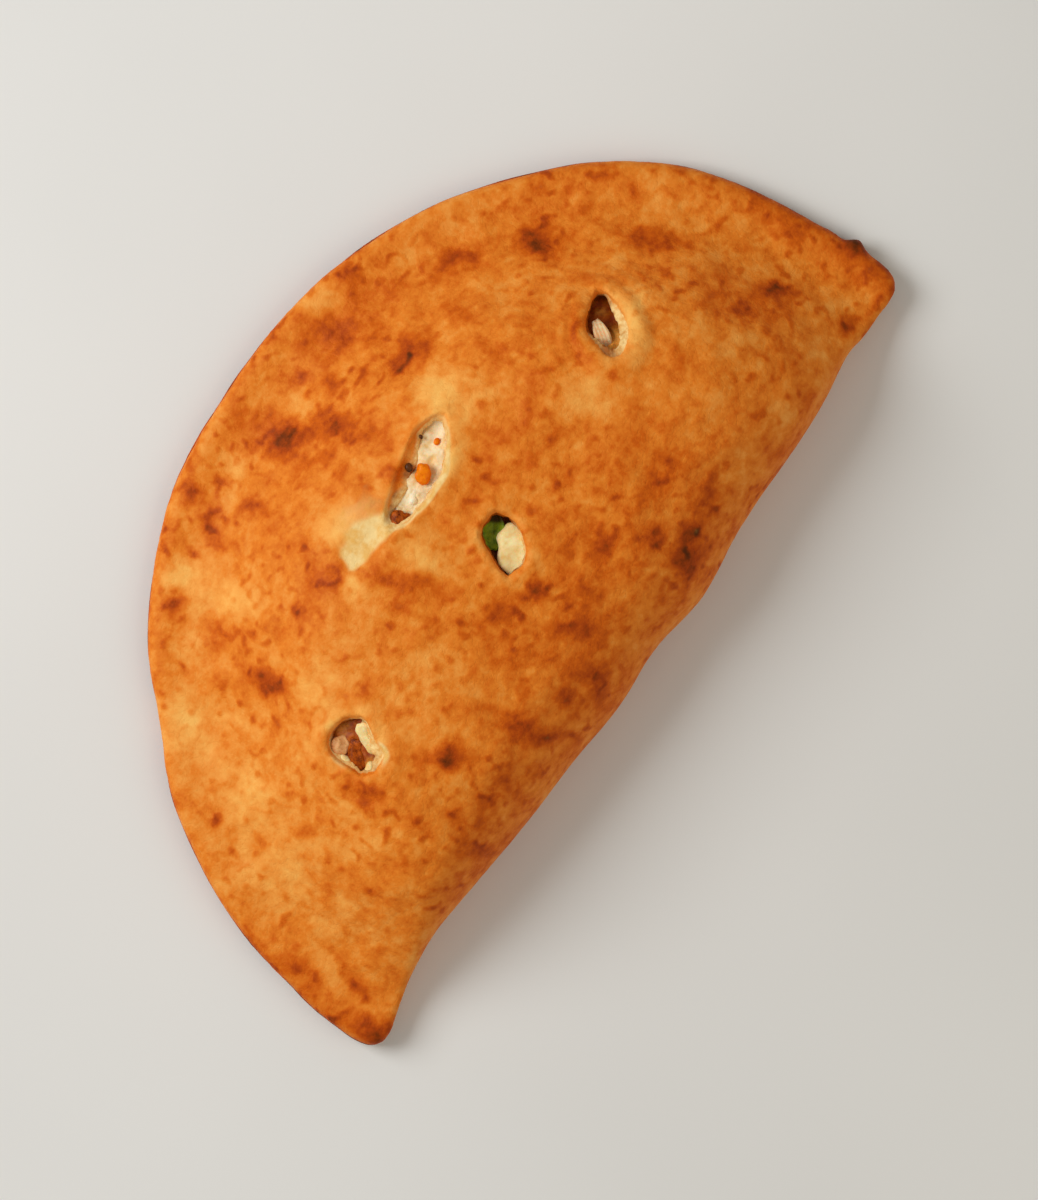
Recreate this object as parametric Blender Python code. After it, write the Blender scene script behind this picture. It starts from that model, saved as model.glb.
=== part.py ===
"""A baked half-moon panzerotto: dough folded over its filling, with four torn vents in the top.

Metres. +X runs along the fold from tip to tip, +Y from the fold to the sealed edge, +Z up.
The origin is under the middle of the bounding box, on the surface that the panzerotto lies on.
"""

import math
from dataclasses import dataclass

import bmesh
import bpy
import numpy as np
from mathutils import Matrix, Vector, geometry, noise

MM = 0.001

# Outline, seen from above. The sealed edge is half an ellipse, and the fold is nearly straight.
ARC_CENTRE = (1.8 * MM, -53.8 * MM)
ARC_HALF_LENGTH = 130.6 * MM
ARC_REACH = 125.2 * MM
ARC_SPAN = (4, 176)  # degrees
ARC_LUMPS = (  # where the edge swells or draws in: direction and half width in degrees, depth in mm
    (27, 11, 1.3),
    (107, 7, 0.9),
    (137, 8, -2.0),
    (165, 8, 0.9),
)
FOLD_ENDS = (-128.5 * MM, 127.5 * MM)
FOLD_LINE = -65.6 * MM
FOLD_WAVES = (  # where the fold leaves its line: place along it, half width and depth in mm
    (-98, 24, 3.2),
    (-20, 44, -3.2),
    (24, 15, -3.4),
    (72, 34, -3.8),
    (107, 11, 2.8),
)
LEFT_TIP = ((-131.8, -57.5), (-130.6, -63.6))  # mm, the round end of each tip
RIGHT_TIP = ((129.8, -62.0), (131.9, -56.0), (132.4, -52.6), (130.8, -48.0))
TIP_SOFTNESS = 1.6 * MM
FOLD_REGION = (127 * MM, -59 * MM)  # the outline between the tips and below this line is the fold

# The dough from the side.
CROWN = 44.0 * MM  # before its two slopes are blended, which takes about 2 mm off
BLEND = 0.30
RIM_MIDDLE = 4.6 * MM
RIM_TOP = 9.0 * MM
RIM_ROUND = 4.2 * MM
RIM_WIDTH = 9.0 * MM
RIM_FILLET = 0.16
SEAL_RUN = 66.0 * MM
FOLD_MIDDLE = 13.5 * MM
FOLD_RUN = 47.0 * MM
FOLD_UNDERCUT = 10.0 * MM
FOLD_TAPER = (56.0 * MM, 74.0 * MM)  # where the fold starts to sink towards a tip, and over what length

# Walls of the dough round the filling, and the gaps between pieces that touch.
CRUST = 4.4 * MM
BASE = 5.0 * MM
SEAL_INSET = 17.0 * MM
FOLD_INSET = 8.5 * MM
CAVITY_CORNER = 4.0 * MM
CAVITY_ROUND = 7.0 * MM
GAP = 0.3 * MM
SEAT = 0.55 * MM

# Relief of the baked skin: wavelength and height of each layer of lumps, and the vents' edges.
SKIN_LUMPS = ((46 * MM, 1.5 * MM), (19 * MM, 0.75 * MM), (8.5 * MM, 0.3 * MM))
SKIN_SEED = 4
CALM_SEAL = 14 * MM  # the lumps fade out over this distance from the sealed edge
CALM_FOLD = 16 * MM
LIP_HEIGHT = 0.9 * MM
LIP_WIDTH = 3.2 * MM
RIPPLE_LENGTH = 4.6 * MM
RIPPLE_FADE = 8.0 * MM

# The filling's surface under the vents.
CURDS = ((4.2 * MM, 0.9 * MM),)
CURD_DEPTH = 0.5 * MM
DIP_MARGIN = 5.0 * MM

# Points that the faces are triangulated from.
LINE_POINTS = 260
FINE_POINTS = 480
OUTLINE_POINTS = 126
CAVITY_POINTS = 72
RINGS_ABOVE = (0.5 * MM, 1.7 * MM, 3.8 * MM, 7.5 * MM)
RINGS_BELOW = (0.6 * MM, 2.0 * MM, 4.6 * MM, 9.5 * MM)
CAVITY_RINGS = (0.5 * MM, 2.0 * MM, 4.8 * MM)
SKIN_STEP = 5.8 * MM
BASE_STEP = 14.0 * MM
VENT_STEP = 2.1 * MM
VENT_ZONE = 5.5 * MM  # how far round a vent the skin is triangulated finely
CAVITY_STEP = 9.0 * MM
CURD_STEP = 2.4 * MM
CURD_ZONE = 1.0 * MM
TIP_ZONE = 116 * MM  # beyond this the outline's points are closer together
TIP_DENSITY = 2.4
TIP_CROWDING = 0.45
FANNING = 7.0 * MM  # how widely the directions that rings are drawn in by are averaged
MERGE = 0.001 * MM
SMOOTH_ANGLE = math.radians(50)

# Colours of the baked pieces.
CRUST_COLOUR = (0.66, 0.25, 0.045)
FILLING_COLOUR = (0.80, 0.66, 0.42)
LEAF_COLOUR = (0.035, 0.10, 0.012)
ONION_COLOUR = (0.62, 0.40, 0.22)
CHEESE_COLOUR = (0.74, 0.58, 0.27)
TOMATO_COLOUR = (0.75, 0.22, 0.01)
SAUSAGE_COLOUR = (0.17, 0.03, 0.01)
OLIVE_COLOUR = (0.06, 0.02, 0.01)
HAM_COLOUR = (0.60, 0.31, 0.16)


@dataclass(frozen=True)
class Vent:
    """A torn opening in the top. turn is the direction of its long axis, in degrees from +X."""

    name: str
    middle: tuple
    length: float
    width: float
    turn: float
    corner: float  # 2 is an oval, and less is more pointed
    taper: float  # how much narrower the end is that turn points to
    ragged: float
    pit: float  # how far the filling lies under the crust's inner face
    ripple: float  # height of the rings of folds in the skin round it
    seed: int

    def reach(self, angle, grow=0.0):
        """Distance from the middle to the edge in a direction counted from the long axis."""
        along = abs(math.cos(angle)) / (self.length / 2 + grow)
        across = abs(math.sin(angle)) / (self.width / 2 + grow)
        span = (along**self.corner + across**self.corner) ** (-1 / self.corner)
        narrowing = 1 - self.taper * abs(math.sin(angle)) * math.cos(angle)
        tear = sum(math.sin(k * angle + self.seed * k * k) / k for k in (2, 3, 5, 7))
        return span * narrowing * (1 + self.ragged * tear)

    def loop(self, corners, grow):
        """The edge as a closed loop of points, drawn out all round by grow."""
        angles = [2 * math.pi * k / corners for k in range(corners)]
        return np.array([self.point(angle, self.reach(angle, grow)) for angle in angles])

    def point(self, angle, reach):
        """The point at that direction and distance from the middle."""
        turned = angle + math.radians(self.turn)
        return self.middle[0] + reach * math.cos(turned), self.middle[1] + reach * math.sin(turned)

    def outside(self, xy):
        """How far points lie outside the edge, and less than zero inside it."""
        offset = xy - np.array(self.middle)
        turned = np.arctan2(offset[:, 1], offset[:, 0]) - math.radians(self.turn)
        edge = np.array([self.reach(a) for a in turned])
        return np.hypot(offset[:, 0], offset[:, 1]) - edge


ROUND_VENT = Vent(
    name="round",
    middle=(71.7 * MM, -6.6 * MM),
    length=19.4 * MM,
    width=12.0 * MM,
    turn=50,
    corner=2.0,
    taper=0.30,
    ragged=0.04,
    pit=5.2 * MM,
    ripple=0.42 * MM,
    seed=3,
)
LONG_VENT = Vent(
    name="long",
    middle=(9.0 * MM, 13.3 * MM),
    length=35.0 * MM,
    width=12.0 * MM,
    turn=8,
    corner=1.7,
    taper=0.05,
    ragged=0.03,
    pit=0.4 * MM,
    ripple=0.12 * MM,
    seed=5,
)
OVAL_VENT = Vent(
    name="oval",
    middle=(6.3 * MM, -17.2 * MM),
    length=19.0 * MM,
    width=11.8 * MM,
    turn=47,
    corner=2.1,
    taper=0.05,
    ragged=0.02,
    pit=2.2 * MM,
    ripple=0.10 * MM,
    seed=2,
)
TORN_VENT = Vent(
    name="torn",
    middle=(-63.7 * MM, -15.6 * MM),
    length=20.0 * MM,
    width=13.2 * MM,
    turn=58,
    corner=2.2,
    taper=-0.10,
    ragged=0.08,
    pit=3.0 * MM,
    ripple=0.46 * MM,
    seed=8,
)
VENTS = (ROUND_VENT, LONG_VENT, OVAL_VENT, TORN_VENT)
VENT_CORNERS = 28
VENT_SECTIONS = (  # height over the crust, and how far the vent's edge is drawn out there
    (5.0 * MM, 2.4 * MM),
    (0.5 * MM, 1.5 * MM),
    (-0.4 * MM, 0.5 * MM),
    (-1.6 * MM, 0.0),
    (-3.4 * MM, -0.3 * MM),
    (-6.9 * MM, 0.2 * MM),
)

# A shallow tear that runs on from the long vent, where the top skin has come away.
SCAR_MIDDLE = (-16.0 * MM, 13.9 * MM)
SCAR_HALF = (9.2 * MM, 5.0 * MM)
SCAR_NARROWING = 0.35
SCAR_EDGE = 1.6
SCAR_DEPTH = 1.1 * MM
SCAR_ZONE = 11.0 * MM


# ---------------------------------------------------------------- outline


def bump(place, centre, width):
    """A smooth hump of height 1 with the given half width."""
    return np.exp(-(((place - centre) / width) ** 2))


def arc_side():
    """The sealed edge, from the right tip over the top to the left tip."""
    degrees = np.linspace(*ARC_SPAN, LINE_POINTS)
    swell = sum(depth * MM * bump(degrees, at, width) for at, width, depth in ARC_LUMPS)
    x = ARC_CENTRE[0] + (ARC_HALF_LENGTH + swell) * np.cos(np.radians(degrees))
    y = ARC_CENTRE[1] + (ARC_REACH + swell) * np.sin(np.radians(degrees))
    return np.stack([x, y], axis=1)


def fold_side():
    """The fold, from the left tip to the right tip."""
    x = np.linspace(*FOLD_ENDS, LINE_POINTS)
    waves = sum(depth * MM * bump(x, at * MM, width * MM) for at, width, depth in FOLD_WAVES)
    return np.stack([x, FOLD_LINE + waves], axis=1)


def evenly(loop, count, density=None):
    """The closed loop again, as that many points at steps that are equal or follow the density."""
    closed = np.vstack([loop, loop[:1]])
    steps = np.linalg.norm(np.diff(closed, axis=0), axis=1)
    if density is not None:
        steps = steps * density(loop)
    along = np.concatenate([[0], np.cumsum(steps)])
    marks = np.linspace(0, along[-1], count, endpoint=False)
    return np.stack([np.interp(marks, along, closed[:, k]) for k in (0, 1)], axis=1)


def softened(values, reach, step=None):
    """Values along a closed loop, or its points, as a running average of that reach."""
    step = step or np.linalg.norm(values[1] - values[0])
    span = int(math.ceil(3 * reach / step))
    weights = np.exp(-0.5 * ((np.arange(-span, span + 1) * step) / reach) ** 2)
    weights /= weights.sum()
    return sum(w * np.roll(values, shift, axis=0) for w, shift in zip(weights, range(-span, span + 1)))


def centred(loop):
    """The loop moved so that its bounding box is centred on the origin."""
    return loop - (loop.min(axis=0) + loop.max(axis=0)) / 2


def whole_outline():
    """The outline of the dough, closed, counter-clockwise and centred."""
    tips = [np.array(tip) * MM for tip in (LEFT_TIP, RIGHT_TIP)]
    loop = np.vstack([arc_side(), tips[0], fold_side(), tips[1]])
    return evenly(centred(softened(evenly(loop, 4 * FINE_POINTS), TIP_SOFTNESS)), FINE_POINTS)


FINE_OUTLINE = whole_outline()
IS_FOLD = (abs(FINE_OUTLINE[:, 0]) < FOLD_REGION[0]) & (FINE_OUTLINE[:, 1] < FOLD_REGION[1])


def distance(xy, start, end):
    """The distance from each point to the nearest of the segments."""
    along = end - start
    nearest = []
    for block in np.array_split(np.asarray(xy, float), max(1, len(xy) // 400)):
        offset = block[:, None, :] - start[None, :, :]
        share = np.clip((offset * along).sum(-1) / (along**2).sum(-1), 0, 1)
        nearest.append(np.linalg.norm(offset - share[..., None] * along, axis=-1).min(axis=1))
    return np.concatenate(nearest)


def edge_distances(xy):
    """How far each point is from the sealed edge and from the fold."""
    following = np.roll(FINE_OUTLINE, -1, axis=0)
    seal = distance(xy, FINE_OUTLINE[~IS_FOLD], following[~IS_FOLD])
    fold = distance(xy, FINE_OUTLINE[IS_FOLD], following[IS_FOLD])
    return seal, fold


def inward(loop):
    """Directions into the closed loop, averaged along it so that they fan out at its corners."""
    forward = np.roll(loop, -1, axis=0) - np.roll(loop, 1, axis=0)
    sideways = np.stack([-forward[:, 1], forward[:, 0]], axis=1)
    sideways /= np.linalg.norm(sideways, axis=1)[:, None]
    smooth = softened(sideways, FANNING, np.linalg.norm(forward, axis=1).mean() / 2)
    return smooth / np.linalg.norm(smooth, axis=1)[:, None]


def cavity_outline():
    """The edge of the cavity: the outline drawn in, more at the sealed edge than at the fold."""
    amount = np.where(IS_FOLD, FOLD_INSET, SEAL_INSET)
    drawn = FINE_OUTLINE + inward(FINE_OUTLINE) * amount[:, None]
    seal, fold = edge_distances(drawn)
    clear = np.minimum(seal - SEAL_INSET, fold - FOLD_INSET) > -GAP
    return evenly(softened(evenly(drawn[clear], FINE_POINTS), CAVITY_CORNER), FINE_POINTS // 2)


CAVITY_OUTLINE = cavity_outline()


# ---------------------------------------------------------------- heights


def quarter(share):
    """A quarter of an ellipse: 0 at 0, where it is upright, and 1 from 1 on, where it is level."""
    return np.sqrt(np.clip(1 - (1 - np.clip(share, 0, 1)) ** 2, 0, 1))


def smaller(a, b):
    """The smaller of the two, with the crease between them rounded off."""
    reach = BLEND * (a + b) / 2
    return np.minimum(a, b) - np.maximum(reach - abs(a - b), 0) ** 2 / (4 * reach)


def fold_middle(x):
    """Height of the fold's widest point, which sinks to the rim's towards the tips."""
    share = np.clip((abs(x) - FOLD_TAPER[0]) / FOLD_TAPER[1], 0, 1)
    return RIM_MIDDLE + (FOLD_MIDDLE - RIM_MIDDLE) * (1 - share**2)


def swell(xy):
    """Height of the smooth dough, with no relief on it."""
    seal, fold = edge_distances(xy)
    inwards = np.maximum(seal - RIM_WIDTH, 0) / SEAL_RUN
    eased = inwards - RIM_FILLET * (1 - np.exp(-inwards / RIM_FILLET))
    rise = 1 - (1 - np.clip(eased / (1 - RIM_FILLET), 0, 1)) ** 2
    rim = RIM_MIDDLE + (RIM_TOP - RIM_MIDDLE) * quarter(seal / RIM_ROUND)
    middle = fold_middle(xy[:, 0])
    from_fold = middle + (CROWN - middle) * quarter(fold / FOLD_RUN)
    return smaller(rim + (CROWN - RIM_TOP) * rise, from_fold)


def lumps(xy, layers, seed):
    """Smooth random lumps that are the same on each run."""
    height = np.zeros(len(xy))
    for number, (wave, amount) in enumerate(layers):
        shift = Vector((seed * 3.7, number * 11.3, seed * 1.9))
        height += [amount * noise.noise(Vector((x / wave, y / wave, 0)) + shift) for x, y in xy]
    return height


def skin_relief(xy):
    """What the baked skin adds to the smooth dough: lumps, ripples and lips round the vents."""
    seal, fold = edge_distances(xy)
    calm = np.clip(np.minimum(seal / CALM_SEAL, fold / CALM_FOLD), 0, 1)
    relief = calm * lumps(xy, SKIN_LUMPS, SKIN_SEED)
    for vent in VENTS:
        outside = vent.outside(xy)
        relief += LIP_HEIGHT * np.exp(-((outside / LIP_WIDTH) ** 2))
        fading = np.exp(-np.maximum(outside, 0) / RIPPLE_FADE)
        relief += calm * vent.ripple * fading * np.cos(2 * math.pi * outside / RIPPLE_LENGTH)
    return relief - SCAR_DEPTH * scar(xy)


def scar(xy):
    """1 in the middle of the shallow tear beside the long vent, and 0 outside it."""
    along = (xy[:, 0] - SCAR_MIDDLE[0]) / SCAR_HALF[0]
    across = (xy[:, 1] - SCAR_MIDDLE[1]) / (SCAR_HALF[1] * (1 - SCAR_NARROWING * along))
    return np.clip(SCAR_EDGE * (1 - np.hypot(along, across)), 0, 1)


def crust_top(xy):
    """Height of the dough's upper face."""
    return swell(xy) + skin_relief(xy)


def crust_bottom(xy):
    """Height of the dough's lower face, flat except where it rounds up to the edges."""
    seal, fold = edge_distances(xy)
    under_rim = RIM_MIDDLE * (1 - quarter(seal / RIM_ROUND))
    under_fold = fold_middle(xy[:, 0]) * (1 - quarter(fold / FOLD_UNDERCUT))
    return np.maximum(under_rim, under_fold)


def cavity_depth(xy):
    """How far inside the cavity's edge each point lies."""
    return distance(xy, CAVITY_OUTLINE, np.roll(CAVITY_OUTLINE, -1, axis=0))


def cavity_top(xy):
    """Height of the cavity's upper face, rounded down to its edge."""
    ceiling = swell(xy) - CRUST
    middle = (ceiling + BASE) / 2
    return middle + (ceiling - middle) * quarter(cavity_depth(xy) / CAVITY_ROUND)


def cavity_floor(xy):
    """Height of the cavity's lower face, rounded up to its edge."""
    middle = (swell(xy) - CRUST + BASE) / 2
    return middle + (BASE - middle) * quarter(cavity_depth(xy) / CAVITY_ROUND)


def dip(xy):
    """How far the filling's upper face sinks and curdles under the vents."""
    depth = np.zeros(len(xy))
    for vent in VENTS:
        near = 1 - np.clip(vent.outside(xy) / DIP_MARGIN, 0, 1)
        curds = lumps(xy, CURDS, vent.seed) - CURD_DEPTH
        depth += near * (vent.pit - np.minimum(curds, 0))
    return depth


def filling_top(xy):
    """The filling's upper face: just under the crust, and lower under the vents."""
    return cavity_top(xy) - GAP - dip(xy)


# ---------------------------------------------------------------- meshes


def grid_points(step, low, high):
    """A honeycomb of points over a rectangle."""
    rows = np.arange(low[1], high[1], step * math.sqrt(0.75))
    columns = np.arange(low[0], high[0], step)
    return np.array([(x + (k % 2) * step / 2, y) for k, y in enumerate(rows) for x in columns])


def enclosed(points, loop):
    """Which points lie inside the closed loop, by counting its crossings to the right of them."""
    ends = np.roll(loop, -1, axis=0)
    height = points[:, 1:]
    crossings = (loop[:, 1] > height) != (ends[:, 1] > height)
    climb = np.where(ends[:, 1] == loop[:, 1], 1, ends[:, 1] - loop[:, 1])
    crossed_at = loop[:, 0] + (height - loop[:, 1]) * (ends[:, 0] - loop[:, 0]) / climb
    return (crossings & (points[:, :1] < crossed_at)).sum(axis=1) % 2 == 1


def inner_points(loop, step, fine_step, zones):
    """A honeycomb of points inside the loop, finer in each zone and clear of the loop."""
    found = grid_points(step, loop.min(axis=0), loop.max(axis=0))
    clear = np.ones(len(found), bool)
    fine = []
    for middle, reach in zones:
        clear &= np.linalg.norm(found - middle, axis=1) > reach + fine_step * 0.6
        patch = grid_points(fine_step, np.array(middle) - reach, np.array(middle) + reach)
        fine.append(patch[np.linalg.norm(patch - middle, axis=1) < reach])
    points = np.vstack([found[clear], *fine])
    apart = distance(points, loop, np.roll(loop, -1, axis=0)) > 0.45 * step
    return points[apart & enclosed(points, loop)]


def add_face(mesh, rings, points, heights, upwards):
    """One face of a solid: strips from ring to ring, and triangles inside the last of them."""
    made = [[mesh.verts.new((x, y, z)) for (x, y), z in zip(ring, heights(ring))] for ring in rings[1:]]
    order = 1 if upwards else -1
    for outer, inner in zip(made, made[1:]):
        add_strip(mesh, outer, inner, order)
    inside_loop = 1
    corners, _, faces, *_ = geometry.delaunay_2d_cdt(
        [Vector(p) for p in (*rings[-1], *points)], [], [list(range(len(rings[-1])))], inside_loop, MERGE / 10
    )
    flat = np.array([tuple(c) for c in corners])
    lifted = [mesh.verts.new((x, y, z)) for (x, y), z in zip(flat, heights(flat))]
    for face in faces:
        mesh.faces.new([lifted[k] for k in face][::order])
    return made[0]


def add_strip(mesh, outer, inner, order):
    """Two triangles between each pair of neighbours on two rings of as many points."""
    for k in range(len(outer)):
        after = (k + 1) % len(outer)
        mesh.faces.new((outer[k], outer[after], inner[after])[::order])
        mesh.faces.new((outer[k], inner[after], inner[k])[::order])


def closed_body(rim, above, below):
    """A closed mesh: an upper and a lower face, joined along the rim between them.

    rim is the rim's loop and heights. Each face is its rings, its inner points and its heights.
    """
    mesh = bmesh.new()
    edge = [mesh.verts.new((x, y, z)) for (x, y), z in zip(*rim)]
    for (rings, points, heights), upwards in ((above, True), (below, False)):
        first = add_face(mesh, rings, points, heights, upwards)
        add_strip(mesh, edge, first, 1 if upwards else -1)
    bmesh.ops.remove_doubles(mesh, verts=mesh.verts[:], dist=MERGE)
    bmesh.ops.recalc_face_normals(mesh, faces=mesh.faces[:])
    return mesh


def as_object(mesh, name, colour=None, roughness=0.6):
    """The mesh as an object with its own material, shaded smooth."""
    data = bpy.data.meshes.new(name)
    mesh.to_mesh(data)
    mesh.free()
    data.shade_smooth()
    data.set_sharp_from_angle(angle=SMOOTH_ANGLE)
    piece = bpy.data.objects.new(name, data)
    bpy.context.scene.collection.objects.link(piece)
    if colour:
        material = bpy.data.materials.new(name)
        material.use_nodes = True
        shader = material.node_tree.nodes["Principled BSDF"]
        shader.inputs["Base Color"].default_value = (*colour, 1)
        shader.inputs["Roughness"].default_value = roughness
        shader.inputs["Metallic"].default_value = 0.0
        data.materials.append(material)
    return piece


def as_cutter(mesh, name, collection):
    """The mesh as a hidden cutter in the collection that a Boolean subtracts."""
    cutter = as_object(mesh, name)
    bpy.context.scene.collection.objects.unlink(cutter)
    collection.objects.link(cutter)
    cutter.hide_render = True
    cutter.display_type = "WIRE"
    return cutter


# ---------------------------------------------------------------- dough


def rings(loop, insets):
    """The loop, and the loops that follow it inwards, closer together at the tips."""
    near_tip = np.clip((abs(loop[:, 0]) - TIP_ZONE) / RINGS_BELOW[-1] + 1, 0, 1)
    step = inward(loop) * (1 - TIP_CROWDING * near_tip)[:, None]
    return [loop + step * inset for inset in (0, *insets)]


def outline_height(xy):
    """Height of the edge itself, where the two faces meet."""
    on_fold = edge_distances(xy)[1] < RINGS_ABOVE[0]
    return np.where(on_fold, fold_middle(xy[:, 0]), RIM_MIDDLE)


def dough_body():
    """The whole outer form of the dough, without its cavity and vents."""
    loop = evenly(FINE_OUTLINE, OUTLINE_POINTS, lambda xy: np.where(abs(xy[:, 0]) > TIP_ZONE, TIP_DENSITY, 1))
    above, below = rings(loop, RINGS_ABOVE), rings(loop, RINGS_BELOW)
    zones = [(vent.middle, vent.length / 2 + VENT_ZONE) for vent in VENTS] + [(SCAR_MIDDLE, SCAR_ZONE)]
    return closed_body(
        (loop, outline_height(loop)),
        (above, inner_points(above[-1], SKIN_STEP, VENT_STEP, zones), crust_top),
        (below, inner_points(below[-1], BASE_STEP, BASE_STEP, []), crust_bottom),
    )


def cavity_body():
    """The rounded space inside the dough, with finer faces where the vents open it."""
    loop = evenly(CAVITY_OUTLINE, CAVITY_POINTS)
    drawn = rings(loop, CAVITY_RINGS)
    zones = [(vent.middle, vent.length / 2 + CURD_ZONE) for vent in VENTS]
    return closed_body(
        (loop, (cavity_top(loop) + cavity_floor(loop)) / 2),
        (drawn, inner_points(drawn[-1], CAVITY_STEP, CURD_STEP, zones), cavity_top),
        (drawn, inner_points(drawn[-1], BASE_STEP, BASE_STEP, []), cavity_floor),
    )


def vent_cutter(vent, collection):
    """What tears a vent open: a column with a flared mouth that reaches into the cavity."""
    mesh = bmesh.new()
    levels = []
    for height, grow in VENT_SECTIONS:
        flat = vent.loop(VENT_CORNERS, grow)
        levels.append([mesh.verts.new((x, y, z + height)) for (x, y), z in zip(flat, swell(flat))])
    for upper, lower in zip(levels, levels[1:]):
        add_strip(mesh, upper, lower, 1)
    mesh.faces.new(levels[0])
    mesh.faces.new(levels[-1])
    bmesh.ops.triangulate(mesh, faces=[face for face in mesh.faces if len(face.verts) > 3])
    bmesh.ops.recalc_face_normals(mesh, faces=mesh.faces[:])
    return as_cutter(mesh, "vent_" + vent.name, collection)


def make_dough():
    """The dough: its outer form, less the cavity and the vents."""
    cuts = bpy.data.collections.new("cuts")
    bpy.context.scene.collection.children.link(cuts)
    as_cutter(cavity_body(), "cavity", cuts)
    for vent in VENTS:
        vent_cutter(vent, cuts)
    dough = as_object(dough_body(), "dough", CRUST_COLOUR, 0.55)
    cut = dough.modifiers.new("cavity_and_vents", "BOOLEAN")
    cut.operation = "DIFFERENCE"
    cut.operand_type = "COLLECTION"
    cut.collection = cuts
    cut.solver = "EXACT"
    return dough


def make_filling():
    """The white filling, which runs right through the dough and shows in the vents."""
    mesh = cavity_body()
    mesh.normal_update()
    sunk = dip(np.array([(v.co.x, v.co.y) for v in mesh.verts]))
    for vertex, depth in zip(mesh.verts, sunk):
        vertex.co -= vertex.normal * GAP + Vector((0, 0, max(vertex.normal.z, 0) * float(depth)))
    return as_object(mesh, "cheese_filling", FILLING_COLOUR, 0.35)


# ---------------------------------------------------------------- pieces in the vents

LUMP_DETAIL = 1.7
LUMP_SHIFT = 2.3
LUMP_LIFT = 0.8  # how high a lump's middle stands, in half heights
SHEET_END = 0.18  # how blunt the ends of a leaf or slice are, as a share of its width
LEAF_LENGTH = 7.4 * MM
LEAF_WIDTH = 4.2 * MM
LEAF_THICKNESS = 0.45 * MM
LEAF_MIDDLE = (6.4 * MM, -12.7 * MM)
LEAF_TURN = 31
ONION_LENGTH = 7.6 * MM
ONION_WIDTH = 2.8 * MM
ONION_THICKNESS = 1.0 * MM
ONION_MIDDLE = (69.2 * MM, -6.8 * MM)
ONION_TURN = 57


def rested(mesh):
    """The piece set on the filling: lowered as a whole, with its underside bedded on it."""
    flat = np.array([(v.co.x, v.co.y) for v in mesh.verts])
    seat = filling_top(flat) + SEAT
    for vertex, height in zip(mesh.verts, seat):
        vertex.co.z = max(vertex.co.z + float(seat.mean()), float(height))
    return mesh


def laid_over(mesh):
    """The sheet raised as a whole until it clears the filling."""
    flat = np.array([(v.co.x, v.co.y) for v in mesh.verts])
    lift = filling_top(flat) + SEAT - np.array([v.co.z for v in mesh.verts])
    bmesh.ops.translate(mesh, verts=mesh.verts[:], vec=(0, 0, float(lift.max())))
    return mesh


def placed(mesh, middle, turn):
    """The piece turned about the upright and moved to its place in plan."""
    spin = Matrix.Rotation(math.radians(turn), 3, "Z")
    bmesh.ops.rotate(mesh, verts=mesh.verts[:], cent=(0, 0, 0), matrix=spin)
    bmesh.ops.translate(mesh, verts=mesh.verts[:], vec=(*middle, 0))
    return mesh


def lump(morsel):
    """A ball drawn towards a box, with uneven sides."""
    mesh = bmesh.new()
    bmesh.ops.create_icosphere(mesh, subdivisions=morsel.divisions, radius=1.0)
    shift = Vector((LUMP_SHIFT * morsel.seed, morsel.seed, 0))
    for vertex in mesh.verts:
        direction = vertex.co.normalized()
        boxed = direction / max(abs(share) for share in direction)
        uneven = 1 + morsel.rough * noise.noise(direction * LUMP_DETAIL + shift)
        shape = direction.lerp(boxed, morsel.square) * uneven + Vector((0, 0, LUMP_LIFT))
        vertex.co = Vector(share * size / 2 for share, size in zip(shape, morsel.size))
    return mesh


def half_width(share):
    """Half the width of a sheet at a share of its length, as a share of its widest."""
    return max(SHEET_END, math.sin(math.pi * (0.06 + 0.88 * share)) ** 0.6) / 2


def sheet(length, width, thickness, rise, across=5, along=8):
    """A thin bent leaf or slice, with both faces split into triangles alike."""
    mesh = bmesh.new()
    layers = []
    for lift in (0, thickness):
        layers.append([])
        for i in range(along + 1):
            share = i / along
            reach = width * half_width(share)
            sides = [2 * j / across - 1 for j in range(across + 1)]
            row = [((share - 0.5) * length, side * reach, rise(share, side) + lift) for side in sides]
            layers[-1].append([mesh.verts.new(place) for place in row])
    low, high = layers
    for i in range(along):
        for j in range(across):
            for grid, order in ((high, 1), (low, -1)):
                near, far = grid[i], grid[i + 1]
                mesh.faces.new((near[j], far[j], far[j + 1])[::order])
                mesh.faces.new((near[j], far[j + 1], near[j + 1])[::order])
    border = [(i, 0) for i in range(along)] + [(along, j) for j in range(across)]
    border += [(i, across) for i in range(along, 0, -1)] + [(0, j) for j in range(across, 0, -1)]
    add_strip(mesh, [low[i][j] for i, j in border], [high[i][j] for i, j in border], 1)
    bmesh.ops.recalc_face_normals(mesh, faces=mesh.faces[:])
    return mesh


@dataclass(frozen=True)
class Morsel:
    """A small lump of the filling that shows in a vent."""

    name: str
    middle: tuple
    size: tuple
    turn: float
    rough: float
    square: float
    colour: tuple
    seed: int
    divisions: int = 2


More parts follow.
